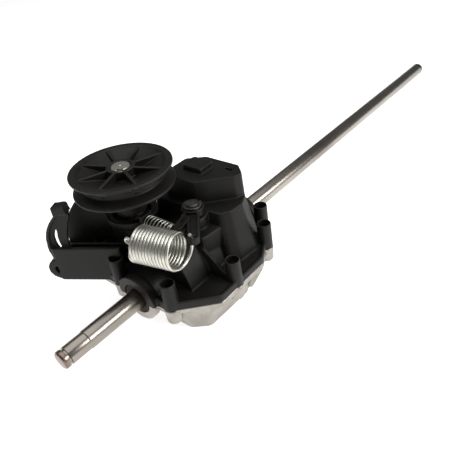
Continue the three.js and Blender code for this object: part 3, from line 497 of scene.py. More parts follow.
def upperHousing():
    h = housingShape
    low, flangeTop, cup = h["partingGap"], h["flangeThickness"], h["cupRadius"]
    flange = raised(flangeLine, low, flangeTop, 4)
    rim = raised(flangeLine, low, flangeTop + h["rimHeight"], 4)
    combine(rim, [raised(inset(flangeLine, h["rimWidth"]), low - 1, flangeTop + 3, 3)], "DIFFERENCE")
    hump = rodX(h["humpRadius"], -14, 28, 128)
    combine(hump, [block((-40, -40, -60), (60, 40, low))], "DIFFERENCE")
    domeLine = [(16, -32), (24, -37), (38, -38), (50, -32), (59, -20), (59, 20), (48, 34), (34, 38),
                (10, 38)]
    towerLine = [(24, -3), (30, -10), (42, -22), (48, -24), (56, -15), (56, 12), (47, 24), (24, 24)]
    cupLine = [(0, low), (cup + 2, low), (cup, 12), (cup, h["cupTop"] - 5), (cup + 1.5, h["cupTop"] - 3.5),
               (cup + 1.5, h["cupTop"]), (0, h["cupTop"])]
    solids = [
        rim, hump,
        raised(domeLine, low, h["domeTop"] + 0.9, 6, 0.74, (40, -1)),  # dome over the clutch
        raised(towerLine, h["domeTop"] - 4, h["towerTop"], 3.5, 0.97, (38, 0)),  # lever tower
        raised([(34, -2), (46, -2), (46, 14), (34, 14)], h["towerTop"] - 1, h["blockTop"], 1.2),
        moved(turned(cupLine, 128), *inputSpot, 0),
        post(8, 20, h["leverBossTop"], *leverSpot),  # boss round the lever's shaft
        raised([(6, -23), (24, -25), (24, 2), (6, 2)], 5, 26.9, 2),
        # ear and peg that hold the return spring
        block((-8.5, 11, 22), (0.5, 14, 39), 0.8),
        moved(swung(post(2.6, -11.1, -5), 90, "X"), -4, 0, 34),
    ]
    solids += [post(h["bossRadius"] - 0.05, low, h["bossHeight"], x, y, 48, h["bossRadius"] - 0.4)
               for x, y in screwSpots]
    for collar in collarSolids():
        solids.append(combine(collar, [block((-60, -40, -60), (120, 40, low))], "DIFFERENCE"))
    # gusset from the hump down to the flange
    gusset = raised([(-18, 0), (-44, 0), (-44, 5), (-24, 21), (-18, 21)], 3.5, 3.5 + 2.4)
    solids.append(moved(stoodUp(gusset), 0, 0, low))
    solids += beltGuard()
    combine(flange, solids, "UNION")
    holes = caseChambers()
    for x, y in screwSpots:
        holes += [post(h["headHole"], h["screwSeat"], h["bossHeight"] + 1, x, y, 48),
                  post(h["screwHole"], -1, h["screwSeat"] + 1, x, y, 32)]
    px, py = leverSpot
    holes += [
        post(h["cupBore"], h["bearingSeat"], 60, *inputSpot),
        post(4.3, 15, 40, px, py),
        post(6.2, h["leverBossTop"] - 3.2, 40, px, py),
        block((px - 6, py - 10, 0), (px + 6, py + 8, h["clutchRadius"] - 2)),
        block((44, 12, h["domeTop"] + 3), (60, 50, h["towerTop"] - 3)),
        block((46.5, -15.5, 48.4), (49, -9, 52), 0.8),
    ]
    combine(flange, holes, "DIFFERENCE")
    housing = moulded(flange, h["voxel"], h["softenPasses"], h["triangles"])
    return seat(housing, "upper_housing_moulding", "housing", finishes["black_nylon"], "black_nylon",
                "upper_housing")


upperHousing()
print("upper housing ready")

def newTree(name, inputs):
    tree = bpy.data.node_groups.new(name, "GeometryNodeTree")
    tree.interface.new_socket("Geometry", in_out="INPUT", socket_type="NodeSocketGeometry")
    sockets = {}
    for label, (kind, value) in inputs.items():
        socket = tree.interface.new_socket(label, in_out="INPUT", socket_type=kind)
        if value is not None:
            socket.default_value = value
        sockets[label] = socket.identifier
    tree.interface.new_socket("Geometry", in_out="OUTPUT", socket_type="NodeSocketGeometry")
    return tree, addNode(tree, "NodeGroupInput"), sockets


def finishTree(tree, geometry, start):
    real = addNode(tree, "GeometryNodeRealizeInstances", {}, {"Geometry": geometry})
    painted = addNode(tree, "GeometryNodeSetMaterial", {},
                      {"Geometry": real.outputs["Geometry"], "Material": start.outputs["Finish"]})
    addNode(tree, "NodeGroupOutput", {}, {"Geometry": painted.outputs["Geometry"]})


def runTree(piece, tree, sockets, values):
    modifier = piece.modifiers.new(tree.name, "NODES")
    modifier.node_group = tree
    for label, value in values.items():
        modifier[sockets[label]] = value
    settle(piece)
    piece.data.materials.clear()
    piece.data.materials.append(values["Finish"])
    piece.data.polygons.foreach_set("material_index", [0] * len(piece.data.polygons))
    return piece


# lower case: one casting with a pan, half collars, screw nubs and cooling fins
caseShape = {"voxel": 0.55, "softenPasses": 5, "triangles": 180000, "depth": 28.4, "flange": 3.6,
             "finStart": 3, "finEnd": 34, "finPitch": 4.2, "finWidth": 1.7, "nubDepth": 10,
             "parting": -0.15}


# cooling fins under the slanting side of the flange, repeated by geometry nodes
def finRow(first, last, pitch, finish):
    finLine = [(16, -3.3), (16, -24), (9.5, -24), (1.4, -8), (1.4, -3.3)]
    fin = stoodUp(raised(finLine, 0, caseShape["finWidth"]))
    tree, start, sockets = newTree("finRow", {"Fins": ("NodeSocketInt", 9),
                                              "Pitch": ("NodeSocketFloat", 0.004),
                                              "Start": ("NodeSocketFloat", 0.0),
                                              "Finish": ("NodeSocketMaterial", None)})
    pitchVector = addNode(tree, "ShaderNodeCombineXYZ", {}, {"X": start.outputs["Pitch"]})
    firstSpot = addNode(tree, "ShaderNodeCombineXYZ", {}, {"X": start.outputs["Start"]})
    line = addNode(tree, "GeometryNodeMeshLine", {},
                   {"Count": start.outputs["Fins"], "Start Location": firstSpot.outputs[0],
                    "Offset": pitchVector.outputs[0]})
    copies = addNode(tree, "GeometryNodeInstanceOnPoints", {},
                     {"Points": line.outputs["Mesh"], "Instance": start.outputs["Geometry"]})
    finishTree(tree, copies.outputs["Instances"], start)
    count = int((last - first) / pitch) + 1
    return runTree(fin, tree, sockets, {"Fins": count, "Pitch": pitch * mm, "Start": first * mm,
                                        "Finish": finish})


def lowerCase():
    c, h = caseShape, housingShape
    low = c["parting"]
    flange = raised(flangeLine, -c["flange"], low, 4)
    floorLine = [(-16, -12), (-16, -22), (-8, -32), (28, -33), (46, -26), (55, -14), (55, 18), (36, 34),
                 (14, 40), (-10, 41), (-16, 32)]
    solids = [raised(floorLine, -c["depth"], low, 5, 1.16, (18, 2))]
    solids += [post(h["bossRadius"] - 0.2, -c["nubDepth"], low, x, y, 48, h["bossRadius"] + 0.2)
               for x, y in screwSpots]
    for collar in collarSolids():
        solids.append(combine(collar, [block((-60, -40, low), (120, 40, 60))], "DIFFERENCE"))
    combine(flange, solids, "UNION")
    fins = finRow(c["finStart"], c["finEnd"], c["finPitch"], finishes["cast_aluminium"])
    corner, nextCorner = flangeLine[3], flangeLine[4]
    slant = math.degrees(math.atan2(nextCorner[1] - corner[1], nextCorner[0] - corner[0]))
    moved(swung(fins, slant, "Z"), *corner, 0)
    combine(flange, [fins], "UNION")
    holes = caseChambers() + [post(h["screwHole"], 1 - c["nubDepth"], 1, x, y, 32) for x, y in screwSpots]
    combine(flange, holes, "DIFFERENCE")
    case = moulded(flange, c["voxel"], c["softenPasses"], c["triangles"])
    return seat(case, "lower_case_casting", "housing", finishes["cast_aluminium"], "cast_aluminium",
                "lower_case")


lowerCase()
print("lower case ready")

# belt pulley: a V groove, a dished rim and eight spokes on a hub
pulleyShape = {"radius": 31.5, "base": 52.7, "width": 13, "rimInner": 22, "grooveFloor": 25.2, "lip": 1.5,
               "pocket": 6.2, "underPocket": 4.2, "dishEdge": 27.5, "hub": 10, "hubFace": 8.8,
               "hubBottom": 35.2, "bore": 6.3, "spokes": 8, "spokeWidth": 1.9, "voxel": 0.4,
               "softenPasses": 3, "triangles": 170000, "keyHeading": -132}


def spokeRing(finish):  # one spoke, turned round the hub by geometry nodes
    p = pulleyShape
    top, half = p["base"] + p["width"], p["spokeWidth"] / 2
    spoke = block((p["hubFace"] - 1, -half, top - p["pocket"] - 0.5),
                  (p["dishEdge"] - 1.5, half, top - 0.25))
    tree, start, sockets = newTree("spokeRing", {"Spokes": ("NodeSocketInt", 8),
                                                 "First Angle": ("NodeSocketFloat", 0.0),
                                                 "Finish": ("NodeSocketMaterial", None)})
    points = addNode(tree, "GeometryNodePoints", {}, {"Count": start.outputs["Spokes"]})
    index = addNode(tree, "GeometryNodeInputIndex").outputs[0]
    share = addNode(tree, "ShaderNodeMath", {"operation": "DIVIDE"},
                    {0: index, 1: start.outputs["Spokes"]})
    angle = addNode(tree, "ShaderNodeMath", {"operation": "MULTIPLY_ADD", 1: 2 * math.pi},
                    {0: share.outputs[0], 2: start.outputs["First Angle"]})
    facing = addNode(tree, "ShaderNodeCombineXYZ", {}, {"Z": angle.outputs[0]})
    copies = addNode(tree, "GeometryNodeInstanceOnPoints", {},
                     {"Points": points.outputs[0], "Instance": start.outputs["Geometry"],
                      "Rotation": facing.outputs[0]})
    finishTree(tree, copies.outputs["Instances"], start)
    return runTree(spoke, tree, sockets, {"Spokes": p["spokes"], "First Angle": math.pi / p["spokes"],
                                          "Finish": finish})


def pulley():
    p = pulleyShape
    base, top = p["base"], p["base"] + p["width"]
    mid = (base + top) / 2
    body = turned([(p["bore"], p["hubBottom"]), (p["hub"], p["hubBottom"]),
                   (p["hub"], base + p["underPocket"]), (p["rimInner"], base + p["underPocket"]),
                   (p["rimInner"], base), (p["radius"], base), (p["radius"], base + p["lip"]),
                   (p["grooveFloor"], mid - 2.2), (p["grooveFloor"], mid + 2.2),
                   (p["radius"], top - p["lip"]), (p["radius"], top), (p["dishEdge"], top),
                   (p["dishEdge"] - 2, top - 1.4), (p["hubFace"], top - p["pocket"]), (p["hubFace"], top),
                   (p["bore"], top)], 192, 0.5)
    combine(body, [spokeRing(finishes["pulley_nylon"])], "UNION")
    slot = swung(block((5, -1.8, base), (8, 1.8, top + 1)), p["keyHeading"], "Z")
    combine(body, [slot], "DIFFERENCE")
    wheel = moved(moulded(body, p["voxel"], p["softenPasses"], p["triangles"]), *inputSpot, 0)
    return seat(wheel, "belt_pulley", "input", finishes["pulley_nylon"], "pulley_nylon", "pulley")


pulley()
print("pulley ready")

# cable spring, close wound with an eye, and the lever's thin open return spring
cableSpring = {"start": (-17.6, -26.5), "heading": 103.3, "height": 35, "coil": 10.3, "wire": 0.95,
               "turns": 12, "pitch": 2.1, "looseEnd": 5, "looseAngle": 225, "pointsPerTurn": 36,
               "wireSides": 14}
returnSpring = {"coil": 4.2, "wire": 0.4, "openTurns": 7, "closedTurns": 1, "closedGap": 0.15,
                "pointsPerTurn": 32, "wireSides": 10}


def wireAlong(tree, start, line):  # a round wire along a line of points
    path = addNode(tree, "GeometryNodeMeshToCurve", {}, {"Mesh": line})
    section = addNode(tree, "GeometryNodeCurvePrimitiveCircle", {"mode": "RADIUS"},
                      {"Resolution": start.outputs["Wire Sides"], "Radius": start.outputs["Wire Radius"]})
    drawn = addNode(tree, "GeometryNodeCurveToMesh", {"Fill Caps": True},
                    {"Curve": path.outputs[0], "Profile Curve": section.outputs[0]})
    smooth = addNode(tree, "GeometryNodeSetShadeSmooth", {}, {"Geometry": drawn.outputs[0]})
    finishTree(tree, smooth.outputs[0], start)


def smoothPath(points, perSpan):  # Catmull-Rom through the points
    path = []
    for i in range(len(points) - 1):
        a, b = Vector(points[max(i - 1, 0)]), Vector(points[i])
        c, d = Vector(points[i + 1]), Vector(points[min(i + 2, len(points) - 1)])
        for step in range(perSpan):
            t = step / perSpan
            squared, cubed = 2 * a - 5 * b + 4 * c - d, 3 * b - a - 3 * c + d
            path.append(0.5 * (2 * b + (c - a) * t + squared * t * t + cubed * t ** 3))
    return path + [Vector(points[-1])]


def coiledCableSpring():
    s = cableSpring
    heading = math.radians(s["heading"])
    forward = Vector((math.cos(heading), math.sin(heading), 0))
    side = Vector((math.sin(heading), -math.cos(heading), 0))
    origin = Vector((*s["start"], s["height"]))

    def at(along, across, up):
        return origin + forward * along + side * across + Vector((0, 0, up))
    perTurn = s["pointsPerTurn"]
    path = []
    for i in range(-perTurn // 2, s["turns"] * perTurn + 1):
        angle = math.radians(s["looseAngle"]) - 2 * math.pi * i / perTurn  # left-hand wound
        along = s["looseEnd"] * i / (perTurn / 2) if i < 0 else s["pitch"] * i / perTurn
        path.append(at(along, s["coil"] * math.cos(angle), s["coil"] * math.sin(angle)))
    end, r = s["pitch"] * s["turns"], s["coil"]
    eye = [path[-4], path[-1], at(end + 1.4, -0.8 * r, -0.35 * r), at(end + 2.6, -0.45 * r, 0),
           at(end + 5, -0.18 * r, 0.02 * r), at(end + 9, 0, 0), at(end + 8, 0, 2.2),
           at(end + 5.8, 0, 1.7)]
    path = path[:-1] + smoothPath(eye, 8)[8:]
    mesh = bpy.data.meshes.new("cableSpring")
    mesh.from_pydata([point * mm for point in path], [(i, i + 1) for i in range(len(path) - 1)], [])
    tree, start, sockets = newTree("cableSpringWire", {"Wire Radius": ("NodeSocketFloat", 0.001),
                                                       "Wire Sides": ("NodeSocketInt", 12),
                                                       "Finish": ("NodeSocketMaterial", None)})
    wireAlong(tree, start, start.outputs["Geometry"])
    spring = runTree(newPiece("cableSpring", mesh), tree, sockets,
                     {"Wire Radius": s["wire"] * mm, "Wire Sides": s["wireSides"],
                      "Finish": finishes["spring_steel"]})
    return seat(spring, "cable_spring_coil", "cable_spring", None, "spring_steel", "cable_spring")


def coiledReturnSpring():  # the coil rule is in the tree: close end turns, open turns between them
    s = returnSpring
    low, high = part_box("lever_return_spring")
    tree, start, sockets = newTree("returnSpringCoil",
                                   {"Coil Radius": ("NodeSocketFloat", 0.004),
                                    "Turns": ("NodeSocketFloat", 9.0),
                                    "Closed Turns": ("NodeSocketFloat", 1.0),
                                    "Closed Pitch": ("NodeSocketFloat", 0.001),
                                    "Open Pitch": ("NodeSocketFloat", 0.003),
                                    "Points": ("NodeSocketInt", 300),
                                    "Wire Radius": ("NodeSocketFloat", 0.0004),
                                    "Wire Sides": ("NodeSocketInt", 10),
                                    "Finish": ("NodeSocketMaterial", None)})
    line = addNode(tree, "GeometryNodeMeshLine", {}, {"Count": start.outputs["Points"]})
    last = addNode(tree, "ShaderNodeMath", {"operation": "SUBTRACT", 1: 1.0}, {0: start.outputs["Points"]})
    index = addNode(tree, "GeometryNodeInputIndex").outputs[0]
    share = addNode(tree, "ShaderNodeMath", {"operation": "DIVIDE"}, {0: index, 1: last.outputs[0]})
    turns = addNode(tree, "ShaderNodeMath", {"operation": "MULTIPLY"},
                    {0: share.outputs[0], 1: start.outputs["Turns"]})
    angle = addNode(tree, "ShaderNodeMath", {"operation": "MULTIPLY", 1: 2 * math.pi},
                    {0: turns.outputs[0]})
    opened = addNode(tree, "ShaderNodeMath", {"operation": "SUBTRACT"},
                     {0: turns.outputs[0], 1: start.outputs["Closed Turns"]})
    twice = addNode(tree, "ShaderNodeMath", {"operation": "MULTIPLY", 1: 2.0},
                    {0: start.outputs["Closed Turns"]})
    openTurns = addNode(tree, "ShaderNodeMath", {"operation": "SUBTRACT"},
                        {0: start.outputs["Turns"], 1: twice.outputs[0]})
    above = addNode(tree, "ShaderNodeMath", {"operation": "MAXIMUM", 1: 0.0}, {0: opened.outputs[0]})
    inside = addNode(tree, "ShaderNodeMath", {"operation": "MINIMUM"},
                     {0: above.outputs[0], 1: openTurns.outputs[0]})
    closed = addNode(tree, "ShaderNodeMath", {"operation": "SUBTRACT"},
                     {0: turns.outputs[0], 1: inside.outputs[0]})
    closedLength = addNode(tree, "ShaderNodeMath", {"operation": "MULTIPLY"},
                           {0: closed.outputs[0], 1: start.outputs["Closed Pitch"]})
    along = addNode(tree, "ShaderNodeMath", {"operation": "MULTIPLY_ADD"},
                    {0: inside.outputs[0], 1: start.outputs["Open Pitch"], 2: closedLength.outputs[0]})
    cosine = addNode(tree, "ShaderNodeMath", {"operation": "COSINE"}, {0: angle.outputs[0]})
    sine = addNode(tree, "ShaderNodeMath", {"operation": "SINE"}, {0: angle.outputs[0]})
    across = addNode(tree, "ShaderNodeMath", {"operation": "MULTIPLY"},
                     {0: cosine.outputs[0], 1: start.outputs["Coil Radius"]})
    up = addNode(tree, "ShaderNodeMath", {"operation": "MULTIPLY"},
                 {0: sine.outputs[0], 1: start.outputs["Coil Radius"]})
    spot = addNode(tree, "ShaderNodeCombineXYZ", {},
                   {"X": across.outputs[0], "Y": along.outputs[0], "Z": up.outputs[0]})
    coil = addNode(tree, "GeometryNodeSetPosition", {},
                   {"Geometry": line.outputs[0], "Position": spot.outputs[0]})
    wireAlong(tree, start, coil.outputs[0])
    totalTurns = s["openTurns"] + 2 * s["closedTurns"]
    closedPitch = 2 * s["wire"] + s["closedGap"]
    length = (high.y - low.y) / mm - 2 * s["wire"]
    openPitch = (length - 2 * s["closedTurns"] * closedPitch) / s["openTurns"]
    spring = runTree(newPiece("returnSpring", bpy.data.meshes.new("returnSpring")), tree, sockets,
                     {"Coil Radius": s["coil"] * mm, "Turns": float(totalTurns),
                      "Closed Turns": float(s["closedTurns"]), "Closed Pitch": closedPitch * mm,
                      "Open Pitch": openPitch * mm, "Points": totalTurns * s["pointsPerTurn"] + 1,
                      "Wire Radius": s["wire"] * mm, "Wire Sides": s["wireSides"],
                      "Finish": finishes["spring_steel_fine"]})
    centre = (low + high) / 2 / mm
    moved(spring, centre.x, low.y / mm + s["wire"], centre.z)
    spring.name = spring.data.name = "lever_return_spring_coil"
    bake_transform(spring)
    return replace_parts(spring, "lever_return_spring")


coiledCableSpring()
coiledReturnSpring()
print("springs ready")

# axle: a bar with a turned-down near end, clip grooves and a cross hole for the drive pin
axleShape = {"radius": 6, "near": -89, "far": 407, "neck": 5.6, "neckLength": 17, "grooveDepth": 1,
             "wheelClips": (0.3, 48), "pinSpot": 25, "pinHole": 2.3}


def axleBar():
    a = axleShape
    near, far, r, neck, floor = a["near"], a["far"], a["radius"], a["neck"], a["grooveDepth"]
    bar = alongX([(0, near), (neck - 0.8, near), (neck, near + 0.8), (neck, near + 3),
                  (neck - floor, near + 3.1), (neck - floor, near + 4.3), (neck, near + 4.4),
                  (neck, near + a["neckLength"]), (r, near + a["neckLength"] + 0.5), (r, far - 5),
                  (r - floor, far - 4.9), (r - floor, far - 3.7), (r, far - 3.6), (r, far - 1),
                  (r - 1, far), (0, far)], 128)
    grooves = [alongX([(r - 0.8, x), (r + 1, x), (r + 1, x + 1.6), (r - 0.8, x + 1.6)])
               for x in a["wheelClips"]]
    combine(bar, grooves + [post(a["pinHole"], -8, 8, a["pinSpot"])], "DIFFERENCE")
    smoothShaded(bevelled(bar, 0.12, 40), 35)
    return seat(bar, "axle_bar", "axle", finishes["ground_steel"], "ground_steel", "axle")


axleBar()
print("axle ready")

# case screws, thread-forming, with a hex socket
screwShape = {"headRadius": 3.4, "headHeight": 2.6, "headBase": 9.3, "socket": 1.75, "socketDepth": 1.5,
              "shank": 2.0, "length": 17, "threadPitch": 1.6, "seed": 7}


def caseScrews():  # one screw in each boss, each turned to its own angle
    s = screwShape
    head = turned([(0, 0), (s["headRadius"], 0), (s["headRadius"], 1.5), (s["headRadius"] - 0.5, 2.3),
                   (s["headRadius"] - 1.3, s["headHeight"]), (0, s["headHeight"])], 64, 0.25)
    thread = [(0, -s["length"]), (s["shank"] - 0.9, -s["length"])]
    steps = int((s["length"] - 1) / s["threadPitch"])
    for i in range(steps):
        z = -s["length"] + 0.4 + i * s["threadPitch"]
        thread += [(s["shank"] - 0.5, z), (s["shank"], z + s["threadPitch"] * 0.5),
                   (s["shank"] - 0.5, z + s["threadPitch"] * 0.98)]
    combine(head, [turned(thread + [(s["shank"] - 0.2, 0.3), (0, 0.3)], 24)], "UNION")
    hexagon = [(s["socket"] * math.cos(i * math.pi / 3), s["socket"] * math.sin(i * math.pi / 3))
               for i in range(6)]
    combine(head, [raised(hexagon, s["headHeight"] - s["socketDepth"], 4)], "DIFFERENCE")
    smoothShaded(head, 32)
    spots = bpy.data.meshes.new("screwSpots")
    spots.from_pydata([Vector((x, y, s["headBase"])) * mm for x, y in screwSpots], [], [])
    tree, start, sockets = newTree("screwsOnBosses",
                                   {"Screw": ("NodeSocketObject", None), "Seed": ("NodeSocketInt", 0),
                                    "Finish": ("NodeSocketMaterial", None)})
    screw = addNode(tree, "GeometryNodeObjectInfo", {"As Instance": True},
                    {"Object": start.outputs["Screw"]})
    angle = addNode(tree, "FunctionNodeRandomValue", {"data_type": "FLOAT", 2: 0.0, 3: 2 * math.pi},
                    {"Seed": start.outputs["Seed"]})
    facing = addNode(tree, "ShaderNodeCombineXYZ", {}, {"Z": angle.outputs[1]})
    copies = addNode(tree, "GeometryNodeInstanceOnPoints", {},
                     {"Points": start.outputs["Geometry"], "Instance": screw.outputs["Geometry"],
                      "Rotation": facing.outputs[0]})
    finishTree(tree, copies.outputs["Instances"], start)
    screws = runTree(newPiece("screws", spots), tree, sockets,
                     {"Screw": head, "Seed": s["seed"], "Finish": finishes["screw_steel"]})
    bpy.data.objects.remove(head)
    return seat(screws, "case_screw_set", "housing", None, "screw_steel",
                *[f"case_screw_{i}" for i in range(1, 9)])


caseScrews()
print("screws ready")

# bushes, seals, washers and clips
ringShape = {"axleBore": 6.15, "plierHole": 0.45, "slitHalf": 1.2, "pulleyClip": 33.3, "leverClip": 40.7,
             "leverSeal": 31.5, "shaftSeal": 28.1, "wormBush": -21.7, "washerOuter": 11,
             "washerThickness": 1.6, "nearWasher": -11.2, "farWasher": 50.1}


def axleSize(node):  # where a ring on the axle starts and ends, and its outer radius, in mm
    low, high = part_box(node)
    return low.x / mm, high.x / mm, (high.z - low.z) / 2 / mm


def bush(node):
    bore = ringShape["axleBore"]
    start, end, outer = axleSize(node)
    ring = alongX([(bore, start), (outer, start), (outer, end), (bore, end)], 96, 0.35)
    return seat(smoothShaded(ring, 35), node + "_turned", "housing", finishes["sintered_bronze"],
                "sintered_bronze", node)


def axleSeal(node):
    start, end, outer = axleSize(node)
    profile = [(6.25, start + 0.9), (6.7, start + 0.35), (7.4, start + 0.5), (7.7, start + 0.1),
               (outer, start), (outer, end), (7.7, end - 0.1), (7.4, end - 0.5), (6.7, end - 0.35),
               (6.25, end - 0.9)]
    return seat(smoothShaded(alongX(profile, 96, 0.15), 40), node + "_moulded", "housing",
                finishes["brown_rubber"], "brown_rubber", node)


# external retaining ring: open on one side, with plier holes beside the slit
def circlip(inner, outer, thickness, lugAngle):
    slit = ringShape["slitHalf"]
    ring = turned([(inner, 0), (outer, 0), (outer, thickness), (inner, thickness)], 96, 0.1)
    holes = [block((0, -slit, -1), (outer + 3, slit, thickness + 1))]
    middleRadius = (inner + outer) / 2 + 0.1
    for side in (-1, 1):
        angle = side * math.radians(lugAngle)
        holes.append(post(ringShape["plierHole"], -1, thickness + 1, middleRadius * math.cos(angle),
                          middleRadius * math.sin(angle), 20))
    combine(ring, holes, "DIFFERENCE")
    return smoothShaded(ring, 35)


def placeClip(node, body, clip, spot):
    return seat(moved(clip, *spot), node + "_pressed", body, finishes["clip_steel"], "clip_steel", node)


def leverShaftSeal():
    profile = [(4.25, 1.0), (4.6, 0.35), (5.0, 0.5), (5.3, 0.1), (5.9, 0), (5.9, 2.4), (5.3, 2.3),
               (5.0, 1.9), (4.6, 2.05), (4.25, 1.4)]
    seal = moved(turned(profile, 80, 0.1), *leverSpot, ringShape["leverSeal"])
    return seat(smoothShaded(seal, 40), "lever_shaft_seal_moulded", "housing", finishes["brown_rubber"],
                "brown_rubber", "lever_shaft_seal")


def inputShaftSeal():
    profile = [(6.25, 1.1), (6.7, 0.5), (7.6, 0.7), (8.0, 0.15), (12, 0), (12, 3), (8.0, 2.85),
               (7.6, 2.3), (6.7, 2.5), (6.25, 1.9)]
    seal = moved(turned(profile, 96, 0.15), *inputSpot, ringShape["shaftSeal"])
    return seat(smoothShaded(seal, 40), "input_shaft_seal_moulded", "housing", finishes["brown_rubber"],
                "brown_rubber", "input_shaft_seal")


def wormLowerBush():
    profile = [(4.15, 0), (7, 0), (7, 7), (9, 7), (9, 8.3), (4.15, 8.3)]
    ring = moved(turned(profile, 80, 0.25), *inputSpot, ringShape["wormBush"])
    return seat(smoothShaded(ring, 35), "worm_lower_bush_turned", "housing", finishes["sintered_bronze"],
                "sintered_bronze", "worm_lower_bush")


def thrustWasher(node, start):
    bore, outer, end = ringShape["axleBore"], ringShape["washerOuter"], start + ringShape["washerThickness"]
    ring = alongX([(bore, start), (outer, start), (outer, end), (bore, end)], 96, 0.2)
    return seat(smoothShaded(ring, 35), node + "_ground", "axle", finishes["bearing_steel"],
                "bearing_steel", node)


bush("near_axle_bush")
bush("far_axle_bush")
axleSeal("near_axle_seal")
axleSeal("far_axle_seal")
placeClip("pulley_circlip", "input", circlip(5.5, 8.6, 1.2, 20), (*inputSpot, ringShape["pulleyClip"]))
placeClip("lever_circlip", "lever", circlip(3.6, 6, 0.9, 24), (*leverSpot, ringShape["leverClip"]))
for clip in ("wheel_circlip", "end_circlip"):
    placeClip(clip, "axle", swung(circlip(5.5, 9, 1.1, 20), 90, "Y"), (axleSize(clip)[0], 0, 0))
leverShaftSeal()
inputShaftSeal()
wormLowerBush()
thrustWasher("near_thrust_washer", ringShape["nearWasher"])
thrustWasher("far_thrust_washer", ringShape["farWasher"])
print("bushes, seals and clips ready")

# ball bearing on the worm shaft
bearingShape = {"outer": 12, "bore": 6.3, "ballCircle": 9.1, "ball": 1.7, "balls": 8, "clearance": 0.3,
                "lip": 1.1, "half": 3, "middle": 24.8, "grooveSteps": 12, "cage": 0.5}


def raceRing(plain, side, node, body):  # side is 1 for the race outside the balls and -1 inside them
    b = bearingShape
    groove = b["ball"] + b["clearance"]
    lip = b["ballCircle"] + side * b["lip"]
    half = math.acos(b["lip"] / groove)
    profile = [(plain, b["half"]), (plain, -b["half"]), (lip, -b["half"])]
    for i in range(b["grooveSteps"] + 1):
        angle = half * (2 * i / b["grooveSteps"] - 1)
        profile.append((b["ballCircle"] + side * groove * math.cos(angle), groove * math.sin(angle)))
    profile.append((lip, b["half"]))
    ring = moved(turned(profile, 96), *inputSpot, b["middle"])
    return seat(smoothShaded(ring, 30), node + "_ground", body, finishes["bearing_steel"],
                "bearing_steel", node)


def bearingBalls():  # balls set round the cage by geometry nodes
    b = bearingShape
    inner, outer = b["ballCircle"] - b["cage"], b["ballCircle"] + b["cage"]
    cage = turned([(inner, -1), (outer, -1), (outer, 1), (inner, 1)], 96, 0.2)
    smoothShaded(cage, 35)
    tree, start, sockets = newTree("ballsInCage", {"Balls": ("NodeSocketInt", 8),
                                                   "Ball Circle": ("NodeSocketFloat", 0.009),
                                                   "Ball Radius": ("NodeSocketFloat", 0.0017),
                                                   "Finish": ("NodeSocketMaterial", None)})
    spots = addNode(tree, "GeometryNodeMeshCircle", {},
                    {"Vertices": start.outputs["Balls"], "Radius": start.outputs["Ball Circle"]})
    ball = addNode(tree, "GeometryNodeMeshUVSphere", {"Segments": 24, "Rings": 14},
                   {"Radius": start.outputs["Ball Radius"]})
    smoothBall = addNode(tree, "GeometryNodeSetShadeSmooth", {}, {"Geometry": ball.outputs["Mesh"]})
    copies = addNode(tree, "GeometryNodeInstanceOnPoints", {},
                     {"Points": spots.outputs[0], "Instance": smoothBall.outputs[0]})
    both = addNode(tree, "GeometryNodeJoinGeometry")
    tree.links.new(start.outputs["Geometry"], both.inputs[0])
    tree.links.new(copies.outputs[0], both.inputs[0])
    finishTree(tree, both.outputs[0], start)
    balls = runTree(cage, tree, sockets, {"Balls": b["balls"], "Ball Circle": b["ballCircle"] * mm,
                                          "Ball Radius": b["ball"] * mm,
                                          "Finish": finishes["bearing_steel"]})
    moved(balls, *inputSpot, b["middle"])
    return seat(balls, "input_bearing_ball_set", "input", None, "bearing_steel", "input_bearing_balls")


raceRing(bearingShape["outer"], 1, "input_bearing_outer_race", "housing")
raceRing(bearingShape["bore"], -1, "input_bearing_inner_race", "input")
bearingBalls()
print("bearing ready")

# worm shaft with two starts, and the pulley's key
wormShape = {"module": 23 / 15, "starts": 2, "pitchRadius": 7, "length": 22, "backlash": 0.3,
             "addendum": 0.9, "dedendum": 1.25, "steps": 132, "shaft": 6, "journal": 4, "shaftSeat": 21.5,
             "top": 65.7, "bottom": -21.5, "clipGroove": 33, "keyHeading": -132, "slotBottom": 53.7,
             "keyBottom": 54.0, "keyTop": 65.3}


def twisted(points, length, steps, turnPerMm):  # an outline that turns steadily as it rises
    vertices = []
    for step in range(steps + 1):
        z = length * (step / steps - 0.5)
        c, s = math.cos(z * turnPerMm), math.sin(z * turnPerMm)
        vertices += [(x * c - y * s, x * s + y * c, z) for x, y in points]
    count = len(points)
    faces = [list(range(count))[::-1], [steps * count + i for i in range(count)]]
    for step in range(steps):
        base = step * count
        faces += [(base + i, base + (i + 1) % count, base + count + (i + 1) % count, base + count + i)
                  for i in range(count)]
    return closedMesh("twisted", vertices, faces)


